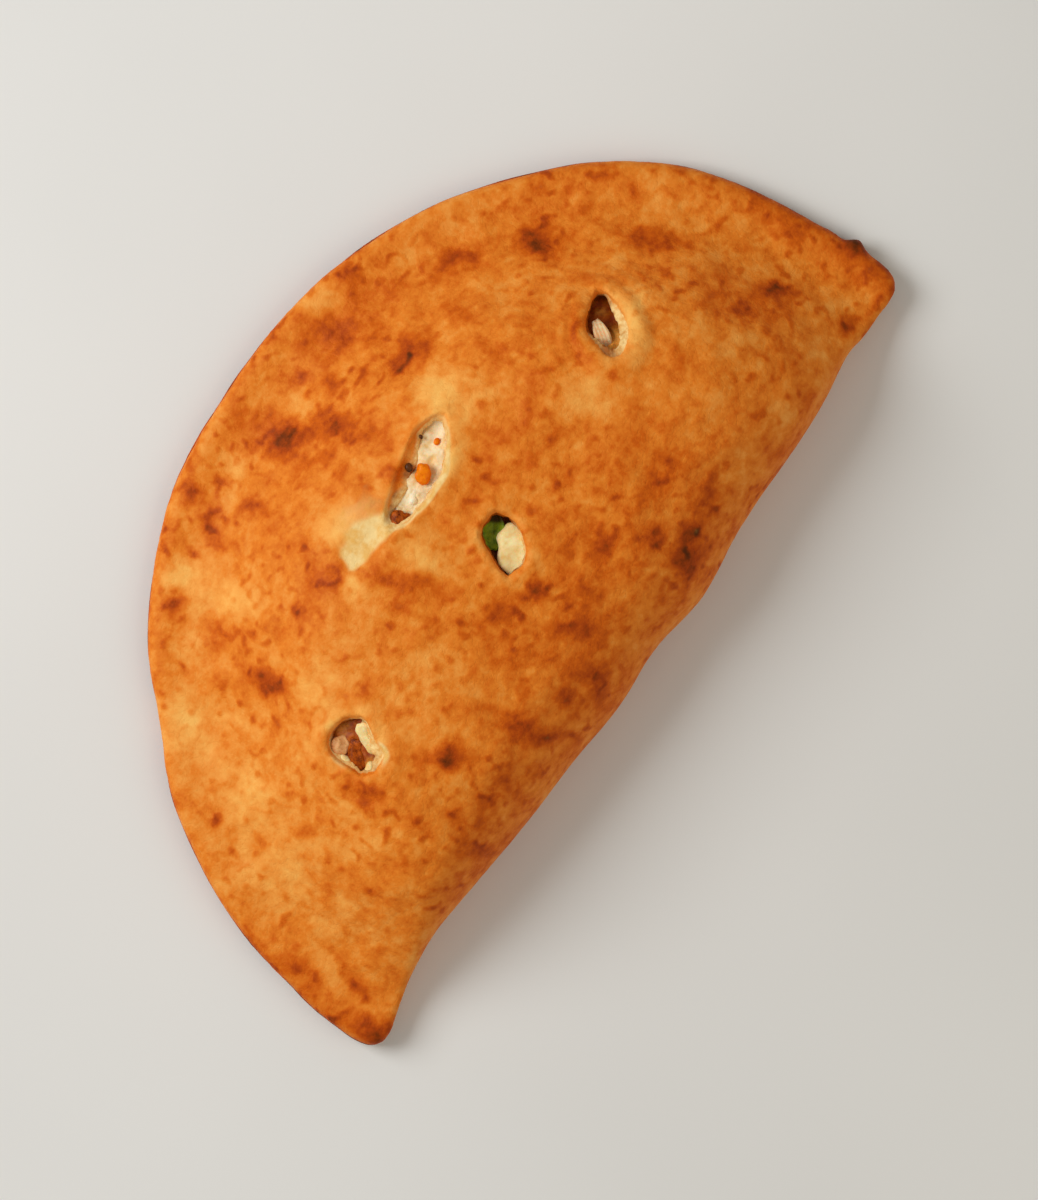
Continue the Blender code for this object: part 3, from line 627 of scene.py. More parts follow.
# Where the skin is darker, and where it is paler: spots of browning, and broad patches that are browning in part and
# painted light and shade in part.
DARK_PATCHES = tuple(
    Patch(*row)
    for row in (
        (-4.1, 50.8, 5, 5, 0, 0.55), (-4.8, 49.9, 12.3, 10, -56, 0.42), (28.6, 55.4, 7.8, 6.7, -56, 0.48),
        (35, 36.2, 8.4, 4.5, 14, 0.45), (38, 31.2, 6.7, 5, 14, 0.45), (28.7, 34.9, 4.5, 3.3, -56, 0.35),
        (15.2, 47.3, 5.6, 3.3, 34, 0.35), (8, 39.1, 12.3, 5.6, -71, 0.42), (12.5, 55.3, 3.3, 3.3, 0, 0.4),
        (43.5, 62.3, 6.7, 4.5, -56, 0.3), (64.8, 38, 10, 5, -56, 0.45), (-24, 57.7, 2.8, 2.8, 0, 0.4),
        (-31.9, 63.9, 5, 4.5, 0, 0.35), (-24.6, 45.2, 7.8, 4.5, -81, 0.45), (6, 18.1, 6.7, 5, 34, 0.4),
        (33.5, 9.5, 3.9, 3.3, -56, 0.45), (81.2, 23.8, 6.1, 6.1, 0, 0.45), (80.9, 23.3, 13.4, 10, -56, 0.42),
        (99.6, -4.2, 15.6, 4.5, -61, 0.35), (96.8, -35.1, 5, 5, 0, 0.5), (105.3, -40.8, 6.1, 6.1, 0, 0.5),
        (106.9, -38.1, 10, 4.5, -56, 0.25), (109.7, -62.5, 5.6, 5, 0, 0.55), (108.8, 7.2, 5, 3.3, -56, 0.3),
        (98.1, 24.2, 2.8, 2.8, 0, 0.4), (106, 18.1, 8.9, 2.2, -56, 0.3), (93.7, -12.3, 2.8, 2.8, 0, 0.4),
        (61.2, -16.2, 2.8, 2.8, 0, 0.55), (64.9, -0.8, 5, 2.2, 34, 0.4), (37.5, -12.1, 5, 4.5, 0, 0.35),
        (29, -10.1, 3.9, 3.3, -56, 0.4), (48.6, -42.3, 8.4, 6.7, -56, 0.3), (49.7, -54.8, 5.6, 5, 0, 0.38),
        (29.4, -50.3, 6.7, 4.5, -56, 0.3), (20.6, -39.8, 6.1, 5.6, 0, 0.45), (31.5, -61.8, 11.2, 8.4, 34, 0.5),
        (0.4, -33, 3.9, 3.3, 34, 0.6), (-63, 16.3, 11.7, 6.7, -86, 0.55), (-62.7, 14.5, 6.1, 4.5, -86, 0.35),
        (-59.7, 31.4, 12.3, 6.1, 74, 0.3), (-29.3, 20.4, 13.4, 11.2, 34, 0.3), (-41.9, 19.2, 3.3, 2.8, 34, 0.4),
        (-19.2, 2.2, 13.4, 4.5, -56, 0.42), (-36.3, 52.4, 7.8, 5.6, 34, 0.35), (-46.3, 53.3, 2.8, 2.8, 0, 0.4),
        (-59.4, 49.2, 6.7, 4.5, 34, 0.38), (-52.1, -37.7, 9.5, 6.7, -56, 0.5), (-51.9, -38.6, 5, 3.9, -56, 0.35),
        (-72.8, -23.8, 12.3, 4.5, -66, 0.35), (-66.6, -6.1, 4, 3, 0, 0.2), (-71.3, -16.5, 8.5, 2.6, -88, 0.3),
        (-102.1, 6.9, 4.5, 3.9, 34, 0.45), (-91.2, -16.1, 7.3, 3.9, -36, 0.4), (-50, -8.6, 4.5, 3.9, -56, 0.35),
        (-3.2, -45.6, 12.8, 4.5, -56, 0.5), (-11.3, -55.5, 9.5, 4.5, -56, 0.42), (-12.1, -62.1, 5, 4.5, 0, 0.42),
        (-18.7, -55.5, 5, 3.9, 34, 0.42), (-9.3, -27.8, 8.9, 7.3, -56, 0.3), (-32.5, -48.7, 8.9, 3.9, -66, 0.4),
        (-30.3, -59.3, 11.2, 3.3, -56, 0.3), (39, -58, 7.8, 7.3, 0, 0.3), (-94.7, -41.1, 3.9, 3.3, -56, 0.4),
        (-119.3, -52.1, 7.3, 3.9, 59, 0.55), (130.6, -51.5, 5.4, 4, -88, 0.62), (-126.5, -64.8, 7.8, 5, -56, 0.4),
        (-93.7, -25.2, 3.7, 2.4, -26, 0.35), (-100.9, -23.7, 3.2, 2.4, -56, 0.32), (-101.3, -30.7, 3.4, 3, 0, 0.35),
        (-101.1, -8.4, 3.7, 3.2, -56, 0.25), (-107.6, -41.2, 3, 2.1, 34, 0.28), (-119.4, -51.7, 3.6, 2.6, -116, 0.4),
        (-103.4, 13.9, 4.5, 2.4, -76, 0.3), (-85.9, -17.4, 2.3, 2.1, -56, 0.3), (-107.6, -2.5, 2, 1.8, -56, 0.3),
        (-64.9, -46.2, 2.8, 2.4, 34, 0.3), (-68.1, -56.7, 6.4, 3.2, -56, 0.2), (-84.7, -6.9, 2.4, 2.2, -56, 0.3),
        (-82.3, 3.8, 2.8, 2.6, -56, 0.25), (-124.7, -36.1, 4.2, 3.2, -56, 0.35), (-45.2, 52.9, 2.4, 2.2, -56, 0.35),
        (-31.9, 52.3, 2.2, 2, -56, 0.3), (-14.7, 60.2, 2.2, 2, -56, 0.3), (-54.4, 26.7, 2.6, 2.2, -56, 0.35),
        (-49.5, 61, 2.2, 2, -56, 0.3), (-72.5, 38.2, 2.6, 2.2, -56, 0.3), (-60.7, 49.7, 4.2, 2.6, -56, 0.3),
        # From (-21.6, 39.8) on, the broad rows darken wide areas, mostly towards the fold: browning, and partly painted
        # shade.
        (104.2, 20.8, 2.4, 2, -56, 0.3), (-21.6, 39.8, 45, 35, 0, 0.07), (24.7, 51, 50, 30, 0, 0.08),
        (0, -40.4, 50, 30, 0, 0.1), (-62, -57, 44, 16, 0, 0.14), (49.9, 14.3, 40, 34, 0, 0.05),
        (99, 4, 40, 24, 0, 0.03), (10, -52, 190, 30, 0, 0.07), (52, -24, 70, 40, 0, 0.06),
    )
)
PALE_PATCHES = tuple(
    Patch(*row)
    for row in (
        # The first two rows pale the round vent's lit lip: paler torn dough, and partly painted highlight.
        (77.3, -12, 15.5, 6.5, 44, -0.28), (84.4, -11.5, 7.8, 6.7, -56, -0.15), (30.9, 21.3, 11, 9, 34, -0.26),
        (17.5, 7.3, 14.5, 4.5, 19, -0.3), (-17.5, 23, 11.2, 11.2, 0, -0.35), (-27.8, 11.3, 6.7, 5, 34, -0.35),
        (-53.6, 51.1, 10, 8.9, 0, -0.28), (-84.9, 29.7, 14.5, 10, -56, -0.3), (6.2, 51, 10, 6.7, -56, -0.25),
        (32.1, 63.6, 8.9, 6.7, -56, -0.18), (-19.4, 56.5, 10, 7.8, 34, -0.2), (-89.4, -0.4, 16, 11, -56, -0.14),
        (-101.9, -16.7, 16.7, 14.5, -56, -0.12), (-9.4, -0.8, 10, 7.8, -56, -0.25), (53.4, -13.7, 12.3, 11.2, 0, -0.25),
        (34.8, 14.1, 14.5, 11.2, -56, -0.18), (-55.2, 0, 13.4, 8.9, -56, -0.2), (-63.2, -5.1, 6.5, 2.8, 0, -0.22),
        (-32.6, -18.3, 14.5, 10, -56, -0.15), (-48.6, 34.9, 12.3, 8.9, -56, -0.2), (73.1, 9.9, 11.2, 7.8, -56, -0.15),
        # The broad rows lighten wide areas, mostly towards the left tip: paler baking, and partly painted light.
        (-94.7, -1.6, 70, 50, 0, -0.09), (-112, -45, 40, 30, 0, -0.09), (71.4, -46, 60, 30, 0, -0.05),
        (-50, 47, 34, 22, 0, -0.08),
    )
)

# How the solid's outline is drawn to the real one: all round, at the tips, and at a blister near the right tip.
PULLS = (
    *(
        Pull(*row, reach=16.0)
        for row in (
            (-125, -20, -0.3, 0.1), (-128, -38, -1.2, 0.4), (-131, -55, -0.8, -0.3), (-120, -64, 0.1, -1.2),
            (-102, -63, 0.1, 0.3), (-84, -64, 0.1, 0.4), (-66, -66, 0.1, 0.9), (-48, -68, 0, 0.5), (-30, -69, 0.1, 1.3),
            (-12, -69, -0.1, -0.9), (6, -69, 0.2, 0.9), (24, -71, -0.1, -0.6), (42, -69, 0, -0.6), (60, -69, 0.1, 0.4),
            (78, -69, -0.2, 0.3), (95, -67, 0.2, -0.4), (113, -65, 0, -1.5), (129, -61, 0.3, -0.5),
            (131, -43, -1.8, 0.3), (128, -25, -0.5, -0.3), (123, -8, 0.5, 0.3), (116, 8, 1, 0.1), (105, 22, 1.2, 1.5),
            (92, 35, 0.9, 0.6), (78, 47, 0.5, 1.4), (63, 56, 0.7, 0.8), (47, 63, 0, 0.8), (29, 68, 0.4, 0.7),
            (11, 70, -0.1, 0.2), (-7, 71, 0.2, -0.1), (-24, 69, -0.2, 0.8), (-42, 64, -0.2, 0.5), (-58, 57, -0.5, 0.8),
            (-74, 47, -0.7, 0.8), (-87, 35, -0.2, 0.2), (-99, 22, -1.5, 1.1), (-111, 9, -0.4, 0.7), (-120, -7, -0.9, 0),
        )
    ),
    *(
        Pull(*row, reach=6.0)
        for row in (
            (-129, -46, -0.8, 0.4), (-130, -52, -0.1, 0.6), (-131, -58, 0.4, 0.1), (-128, -64, -0.4, -1.3),
            (-122, -64, -0.1, -0.9), (-115, -64, 0.3, 0), (111, -64, -0.3, -1.1), (118, -65, -0.2, -0.3),
            (124, -65, 0.6, -0.5), (129, -61, 0.4, -0.1), (131, -55, -0.6, 0.6), (131, -49, 0.1, 0.1),
        )
    ),
    Pull(131.0, -51.4, 1.9, 0.1, reach=2.5),
)


def search_tree(plan: Array) -> kdtree.KDTree:
    """A search tree over points in plan.

    Args:
        plan: The points, one row each.

    Returns:
        The tree, which knows each point by its row.
    """
    tree = kdtree.KDTree(len(plan))
    for number, (x, y) in enumerate(plan):
        tree.insert((x, y, 0), number)
    tree.balance()
    return tree


def from_filling(points: Array) -> Array:
    """How far points lie from the filling's solid.

    Args:
        points: The points, one row each.

    Returns:
        The distance of each.
    """
    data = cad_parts["cheese_filling"].data
    tree = BVHTree.FromPolygons([v.co for v in data.vertices], [p.vertices for p in data.polygons])
    return np.array([tree.find_nearest(point)[3] for point in points])


def from_vents(plan: Array, torn: bool = False) -> Array:
    """How far points of the plan lie outside the vents, with one row for each vent."""
    return np.array([vent.outside(plan, torn) for vent in VENTS])


class Surroundings:
    """Where points of the dough lie: how far from its outline, its filling and its vents."""

    DIRECTIONS = 1440
    CENTRE = (0.0, -20 * MM)
    OUTLINE_STEP = 0.4 * MM
    FOLD_LINE = -58.0 * MM
    FOLD_REACH = 127.0 * MM
    FROM_FILLING = (1.6 * MM, 3.0 * MM)  # where the wall inside turns to skin
    FROM_VENT = (0.2 * MM, 1.4 * MM)  # where a vent's edge turns to skin
    FACING_UP = (-0.35, 0.1)  # from which tilt on it is skin
    WALL_REACH = (0.0, 1.0 * MM)  # how far outside a vent its wall goes
    WALL_DEPTH = (1.0 * MM, 2.4 * MM)  # and how deep under the skin it starts
    BESIDE_VENT = (1.4 * MM, 4 * MM)  # where the skin beside a vent is measured
    DEPTH_REACH = 2.2 * MM  # how far outside a vent depths are taken
    NEIGHBOURS = 5
    SURE_SKIN = 0.9

    def __init__(self, points: Array, normals: Array, torn: bool = False) -> None:
        """Measures where the points lie.

        Args:
            points: The points, one row each.
            normals: The dough's normals there.
            torn: Whether the vents have been torn to their final edges.
        """
        self.points = points
        self.normals = normals
        self.plan = points[:, :2]
        self.seal, self.fold = self._from_outline()
        self.edge = np.minimum(self.seal, self.fold)
        self.from_vents = from_vents(self.plan, torn)
        self.from_vent = self.from_vents.min(axis=0)
        self.from_filling = from_filling(points)
        outer = eased(self.from_filling, *self.FROM_FILLING) * eased(self.from_vent, *self.FROM_VENT)
        self.skin = outer * eased(normals[:, 2], *self.FACING_UP)
        self.depth = self._under_skin()
        self.wall = (1 - eased(self.from_vent, *self.WALL_REACH)) * eased(self.depth, *self.WALL_DEPTH)

    def _outline(self) -> Array:
        """Finds the outline in plan, from the points that lie farthest out.

        Returns:
            Its points, a closed line of small steps.
        """
        offset = self.plan - np.array(self.CENTRE)
        bearing = np.arctan2(offset[:, 1], offset[:, 0])
        bins = ((bearing + math.pi) / (2 * math.pi) * self.DIRECTIONS).astype(int) % self.DIRECTIONS
        order = np.argsort(np.hypot(offset[:, 0], offset[:, 1]))
        farthest = np.full(self.DIRECTIONS, -1)
        farthest[bins[order]] = order
        corners = self.plan[farthest[farthest >= 0]]
        closed = np.vstack([corners, corners[:1]])
        along = np.concatenate([[0], np.cumsum(np.linalg.norm(np.diff(closed, axis=0), axis=1))])
        marks = np.arange(0, along[-1], self.OUTLINE_STEP)
        return np.stack([np.interp(marks, along, closed[:, k]) for k in (0, 1)], axis=1)

    def _from_outline(self) -> list[Array]:
        """Measures how far the points lie from the outline.

        Returns:
            Their distances from the sealed edge, and from the fold.
        """
        outline = self._outline()
        on_fold = (outline[:, 1] < self.FOLD_LINE) & (abs(outline[:, 0]) < self.FOLD_REACH)
        trees = (search_tree(outline[~on_fold]), search_tree(outline[on_fold]))
        return [np.array([tree.find((x, y, 0))[2] for x, y in self.plan]) for tree in trees]

    def _under_skin(self) -> Array:
        """Measures how far points in and round the vents lie under the skin beside them.

        Returns:
            The depth of each, or 0 away from the vents.
        """
        depth = np.zeros(len(self.points))
        near, far = self.BESIDE_VENT
        beside = (self.from_vent > near) & (self.from_vent < far) & (self.skin > self.SURE_SKIN)
        tree, tops = search_tree(self.plan[beside]), self.points[beside, 2]
        for number in np.flatnonzero(self.from_vent < self.DEPTH_REACH):
            found = tree.find_n((*self.plan[number], 0), self.NEIGHBOURS)
            depth[number] = sum(tops[index] for _, index, _ in found) / len(found) - self.points[number, 2]
        return depth


# ---- shading: materials as expressions


def srgb(red: float, green: float, blue: float) -> Colour:
    """The linear colour of a screen colour given from 0 to 255."""
    return tuple((((c / 255) + 0.055) / 1.055) ** 2.4 if c > 10 else c / 255 / 12.92 for c in (red, green, blue))


class Signal:
    """A number on a socket of a material. Python's operators on it add Math nodes."""

    def __init__(self, sheet: "Sheet", socket: Socket) -> None:
        """Wraps the socket of a node that belongs to the sheet."""
        self.sheet = sheet
        self.socket = socket

    def maths(self, operation: str, *terms: "Signal | float") -> "Signal":
        """The result of a Math node on the terms."""
        return self.sheet.signal("ShaderNodeMath", dict(enumerate(terms)), operation=operation)

    def __add__(self, other: "Signal | float") -> "Signal":
        """self + other"""
        return self.maths("ADD", self, other)

    def __radd__(self, other: "Signal | float") -> "Signal":
        """other + self"""
        return self.maths("ADD", other, self)

    def __sub__(self, other: "Signal | float") -> "Signal":
        """self - other"""
        return self.maths("SUBTRACT", self, other)

    def __mul__(self, other: "Signal | float") -> "Signal":
        """self * other"""
        return self.maths("MULTIPLY", self, other)

    def __abs__(self) -> "Signal":
        """abs(self)"""
        return self.maths("ABSOLUTE", self)

    def rise(self, low: float, high: float) -> "Signal":
        """0 below low, 1 above high, and a smooth rise between them."""
        inputs = {"Value": self, "From Min": low, "From Max": high}
        return self.sheet.signal("ShaderNodeMapRange", inputs, interpolation_type="SMOOTHSTEP")


class Sheet:
    """The nodes of one material, with a Principled shader at their end."""

    def __init__(self, name: str) -> None:
        """Starts a material.

        Args:
            name: Its name.
        """
        self.material = bpy.data.materials.new(name)
        self.material.use_nodes = True
        self.tree = self.material.node_tree
        self.shader = self.tree.nodes["Principled BSDF"]
        self.place = self.node("ShaderNodeTexCoord").outputs["Object"]

    def node(self, kind: str, inputs: dict[str | int, object] | None = None, **settings: object) -> bpy.types.Node:
        """Adds a node of any kind.

        Args:
            kind: The node's type.
            inputs: A value, Signal or socket for each of its inputs, by name or number.
            **settings: Its settings by name, set before its inputs.

        Returns:
            The new node.
        """
        made = self.tree.nodes.new(kind)
        for name, value in settings.items():
            setattr(made, name, value)
        for key, value in (inputs or {}).items():
            self.feed(made.inputs[key], value)
        return made

    def signal(self, kind: str, inputs: dict[str | int, object], **settings: object) -> Signal:
        """The first output of a new node, as a number."""
        return Signal(self, self.node(kind, inputs, **settings).outputs[0])

    def feed(self, socket: Socket, value: object) -> None:
        """Links a Signal or socket to an input, or sets the input to a value.

        Args:
            socket: The input.
            value: What it gets.
        """
        if isinstance(value, Signal):
            self.tree.links.new(value.socket, socket)
        elif isinstance(value, Socket):
            self.tree.links.new(value, socket)
        else:
            socket.default_value = value

    def attribute(self, name: str) -> Signal:
        """A number that the piece keeps at its vertices."""
        return Signal(self, self.node("ShaderNodeAttribute", attribute_name=name).outputs["Fac"])

    def grain(self, wave: float, detail: float = 2, rough: float = 0.5, warp: float = 0, seed: float = 0) -> Signal:
        """Random variation from 0 to 1.

        Args:
            wave: How long its waves are.
            detail: How many finer layers it has.
            rough: How strong the finer layers are.
            warp: How much it is drawn out of shape.
            seed: What sets it apart from others of that wave, as a shift in waves.

        Returns:
            The variation.
        """
        shift = (seed * 7.3 * wave, seed * 4.1 * wave, seed * 5.7 * wave)
        place = self.node("ShaderNodeVectorMath", {0: self.place, 1: shift}, operation="ADD").outputs[0]
        inputs = {"Vector": place, "Scale": 1 / wave, "Detail": detail, "Roughness": rough, "Distortion": warp}
        return self.signal("ShaderNodeTexNoise", inputs)

    def ramp(self, value: Signal, *stops: tuple[float, Colour]) -> Socket:
        """Turns a number to a colour.

        Args:
            value: The number.
            *stops: Places from 0 to 1, each with the colour there.

        Returns:
            The colour's socket.
        """
        made = self.node("ShaderNodeValToRGB", {0: value})
        elements = made.color_ramp.elements
        while len(elements) < len(stops):
            elements.new(1.0)
        for element, (place, colour) in zip(elements, stops):
            element.position = place
            element.color = (*colour, 1)
        return made.outputs[0]

    def blend(self, share: Signal | float, first: Colour | Socket, second: Colour | Socket) -> Socket:
        """A mix of two colours, with a share from 0 to 1 of the second."""
        colours = [(*c, 1) if isinstance(c, tuple) else c for c in (first, second)]
        return self.node("ShaderNodeMix", {0: share, 6: colours[0], 7: colours[1]}, data_type="RGBA").outputs[2]

    def finish(
        self, colour: Socket, roughness: Signal | float, height: Signal | None = None, **constants: float
    ) -> Material:
        """Feeds the shader.

        Args:
            colour: The base colour.
            roughness: The roughness.
            height: How high the surface stands, in metres, for the bump.
            **constants: Plain values for other inputs, with _ for a space in their names.

        Returns:
            The material.
        """
        self.feed(self.shader.inputs["Base Color"], colour)
        self.feed(self.shader.inputs["Roughness"], roughness)
        if height is not None:
            bump = self.node("ShaderNodeBump", {"Strength": 1.0, "Distance": 1.0, "Height": height})
            self.feed(self.shader.inputs["Normal"], bump.outputs[0])
        for name, value in constants.items():
            self.feed(self.shader.inputs[name.replace("_", " ")], value)
        return self.material


@dataclass(frozen=True)
class BakedSkin:
    """The dough's finish: golden skin with brown spots, pale crumb in the tears, a browned and floury base."""

    stops: tuple[tuple[float, Colour], ...] = (
        (0.00, srgb(253, 188, 96)),
        (0.20, srgb(247, 165, 74)),
        (0.42, srgb(233, 130, 38)),
        (0.58, srgb(212, 98, 15)),
        (0.74, srgb(178, 70, 10)),
        (0.88, srgb(132, 54, 8)),
        (1.00, srgb(92, 42, 10)),
    )
    stretched: Colour = srgb(246, 211, 142)
    stretched_dark: Colour = srgb(236, 180, 94)
    crumb_dark: Colour = srgb(228, 160, 76)
    crumb_light: Colour = srgb(252, 216, 146)
    # Brown of crumb steeped in sauce, also used as painted shade on the vents' walls.
    soaked: Colour = srgb(160, 76, 10)
    base_light: Colour = srgb(206, 142, 76)
    base_dark: Colour = srgb(122, 66, 30)
    flour: Colour = srgb(238, 222, 196)
    level: float = 0.43

    def material(self) -> Material:
        """Builds the material, which reads bake, pale, crumb, the vents' sauce darkening and painted shade, and under
        from the dough's vertices.

        Returns:
            The material.
        """
        sheet = Sheet("baked_skin")
        crumb = sheet.attribute("crumb")
        under = sheet.attribute("under")
        broad = sheet.grain(15 * MM, 2, 0.55, 0.4) - 0.5
        blotch = sheet.grain(5.6 * MM, 3, 0.5, 0.15, 1) - 0.5
        mottle = sheet.grain(2.2 * MM, 2, 0.5, 0, 2) - 0.5
        clusters = sheet.grain(22 * MM, 1, 0.5, 0, 4).rise(0.38, 0.62)
        freckles = sheet.grain(3.0 * MM, 0, 0.5, 0, 3).rise(0.54, 0.84) * (0.35 + clusters * 0.65)
        tone = sheet.attribute("bake") + self.level + broad * 0.42 + blotch * 0.56 + mottle * 0.28
        speckle = sheet.grain(0.7 * MM, 1, 0.5, 0, 13) - 0.5
        skin = sheet.ramp(tone + freckles * 0.20 + speckle * 0.11, *self.stops)
        pale = (sheet.attribute("pale") + blotch * 0.8 + mottle * 0.4).rise(0.15, 0.9)
        cream = sheet.blend((0.5 + mottle * 1.4 + blotch * 2.0).rise(0.1, 0.9), self.stretched, self.stretched_dark)
        skin = sheet.blend(pale, skin, cream)
        torn = sheet.ramp(sheet.grain(1.6 * MM, 3, 0.6, 0, 6), (0.3, self.crumb_dark), (0.62, self.crumb_light))
        # Painted shade along with sauce: the torn walls darken deeper in the vents and on their shaded sides.
        soak = (sheet.attribute("soak") + blotch * 0.8 + mottle * 0.6).rise(0.15, 0.85)
        torn = sheet.blend(soak, torn, self.soaked)
        browning = sheet.grain(26 * MM, 3, 0.55, 0.3, 7) * 0.7 + sheet.grain(5 * MM, 3, 0.6, 0, 10) * 0.3
        floor = sheet.ramp(browning + mottle * 0.15, (0.36, self.base_dark), (0.60, self.base_light))
        drifts = sheet.grain(18 * MM, 1, 0.5, 0, 11).rise(0.3, 0.6)
        dust = sheet.grain(2.2 * MM, 4, 0.7, 0, 8).rise(0.50, 0.72) * drifts
        dusted = sheet.blend(dust * 0.5, floor, self.flour)
        ragged = (crumb + (mottle + blotch * 0.6) * 0.7 * crumb).rise(0.3, 0.8)
        colour = sheet.blend(ragged, sheet.blend(under, skin, dusted), torn)
        height = mottle * (0.12 * MM) + blotch * (0.18 * MM)
        wrinkles = abs(sheet.grain(3.4 * MM, 3, 0.55, 0.2, 12) - 0.5).rise(0.0, 0.07)
        pores = sheet.grain(0.8 * MM, 3, 0.7, 0, 9)
        height = height + pores * (0.10 * MM) + freckles * (0.10 * MM) + wrinkles * (0.05 * MM)
        roughness = 0.52 + blotch * 0.3 + ragged * 0.1 + under * 0.2
        return sheet.finish(colour, roughness, height, Specular_IOR_Level=0.07)


@dataclass(frozen=True)
class CurdFinish:
    """The filling's finish: wet white curd, brown sauce, and tan in the sauce: tan bits, and painted light in the round
    vent.
    """

    white: Colour = srgb(254, 235, 193)
    cream: Colour = srgb(245, 203, 132)
    sauce: Colour = srgb(188, 92, 15)
    sauce_dark: Colour = srgb(136, 48, 3)
    # Tan of bits in the sauce, and in the round vent painted light where the filling is lit.
    tan: Colour = srgb(240, 164, 66)

    def material(self) -> Material:
        """Builds the material, which reads sauce and tan from the filling's vertices.

        Returns:
            The material.
        """
        sheet = Sheet("wet_curd")
        fine = sheet.grain(1.3 * MM, 3, 0.6)
        coarse = sheet.grain(3.6 * MM, 2, 0.5, 0.3, 1)
        curd = sheet.ramp(coarse * 0.6 + fine * 0.4, (0.36, self.cream), (0.58, self.white))
        sauce = sheet.ramp(coarse * 0.7 + fine * 0.3, (0.36, self.sauce_dark), (0.62, self.sauce))
        sauce = sheet.blend((sheet.attribute("tan") + (fine - 0.5) * 0.5).rise(0.1, 0.9), sauce, self.tan)
        share = (sheet.attribute("sauce") + (fine - 0.5) * 0.8).rise(0.3, 0.7)
        return sheet.finish(
            sheet.blend(share, curd, sauce),
            0.34 + fine * 0.2,
            fine * (0.10 * MM) + coarse * (0.2 * MM),
            Specular_IOR_Level=0.14,
            Subsurface_Weight=0.15,
            Subsurface_Scale=1.2 * MM,
        )


@dataclass(frozen=True)
class MorselFinish:
    """The finish of a small lump: two mottled colours, and how rough it is. Its wave and relief are in mm."""

    name: str
    light: Colour
    dark: Colour
    wave: float
    roughness: float
    relief: float
    translucent: float = 0.1

    def material(self) -> Material:
        """Builds the material.

        Returns:
            The material.
        """
        sheet = Sheet(self.name)
        coarse = sheet.grain(self.wave * MM, 3, 0.6, 0.5)
        fine = sheet.grain(self.wave / 4 * MM, 2, 0.5, 0, 1)
        return sheet.finish(
            sheet.ramp(coarse * 0.7 + fine * 0.3, (0.36, self.dark), (0.62, self.light)),
            self.roughness + (fine - 0.5) * 0.3,
            (coarse + fine * 0.3) * (self.relief * MM),
            Specular_IOR_Level=0.12,
            Subsurface_Weight=self.translucent,
            Subsurface_Scale=1.0 * MM,
        )


@dataclass(frozen=True)
class LeafFinish:
    """A cooked green leaf: dark green with paler veins, and painted shade darkening it towards its tip."""

    blade: Colour = srgb(140, 156, 22)
    shade: Colour = srgb(84, 106, 12)
    vein: Colour = srgb(140, 160, 60)
    # Painted shade: the dark that the leaf turns to towards its tip.
    wilted: Colour = srgb(58, 38, 8)

    def material(self) -> Material:
        """Builds the material, which reads vein and the tip's painted shade from the leaf's vertices.

        Returns:
            The material.
        """
        sheet = Sheet("cooked_leaf")
        vein = sheet.attribute("vein")
        patchy = sheet.grain(2.2 * MM, 3, 0.6)
        green = sheet.blend(vein * 0.5, sheet.ramp(patchy, (0.38, self.shade), (0.62, self.blade)), self.vein)
        wilt = (sheet.attribute("wilt") + (patchy - 0.5) * 0.6).rise(0.2, 0.8)
        height = vein * (-0.10 * MM) + sheet.grain(0.7 * MM) * (0.05 * MM)
        colour = sheet.blend(wilt, green, self.wilted)
        return sheet.finish(colour, 0.42 + patchy * 0.15, height, Specular_IOR_Level=0.14)


@dataclass(frozen=True)
class OnionFinish:
    """Cooked onion: translucent cream and pink, with stripes along the slice."""

    pale: Colour = srgb(255, 228, 178)
    rose: Colour = srgb(242, 178, 122)

    def material(self) -> Material:
        """Builds the material, which reads across from the slice's vertices.

        Returns:
            The material.
        """
        sheet = Sheet("cooked_onion")
        stripes = sheet.attribute("across")
        mix = (stripes * 0.3 + sheet.grain(1.8 * MM) * 0.9).rise(0.3, 0.9)
        return sheet.finish(
            sheet.blend(mix, self.pale, self.rose),
            0.34,
            stripes * (0.07 * MM),
            Specular_IOR_Level=0.14,
            Subsurface_Weight=0.2,
            Subsurface_Scale=1.5 * MM,
        )


@dataclass(frozen=True)
class FloorFinish:
    """The studio's plain pale floor."""

    pale: Colour = srgb(236, 234, 230)
    deep: Colour = srgb(228, 226, 222)

    def material(self) -> Material:
        """Builds the material.

        Returns:
            The material.
        """
        sheet = Sheet("studio_floor")
        cloudy = sheet.grain(0.35, 3)
        return sheet.finish(sheet.blend(cloudy.rise(0.3, 0.7), self.pale, self.deep), 0.75 + cloudy * 0.1)


# ---- pieces


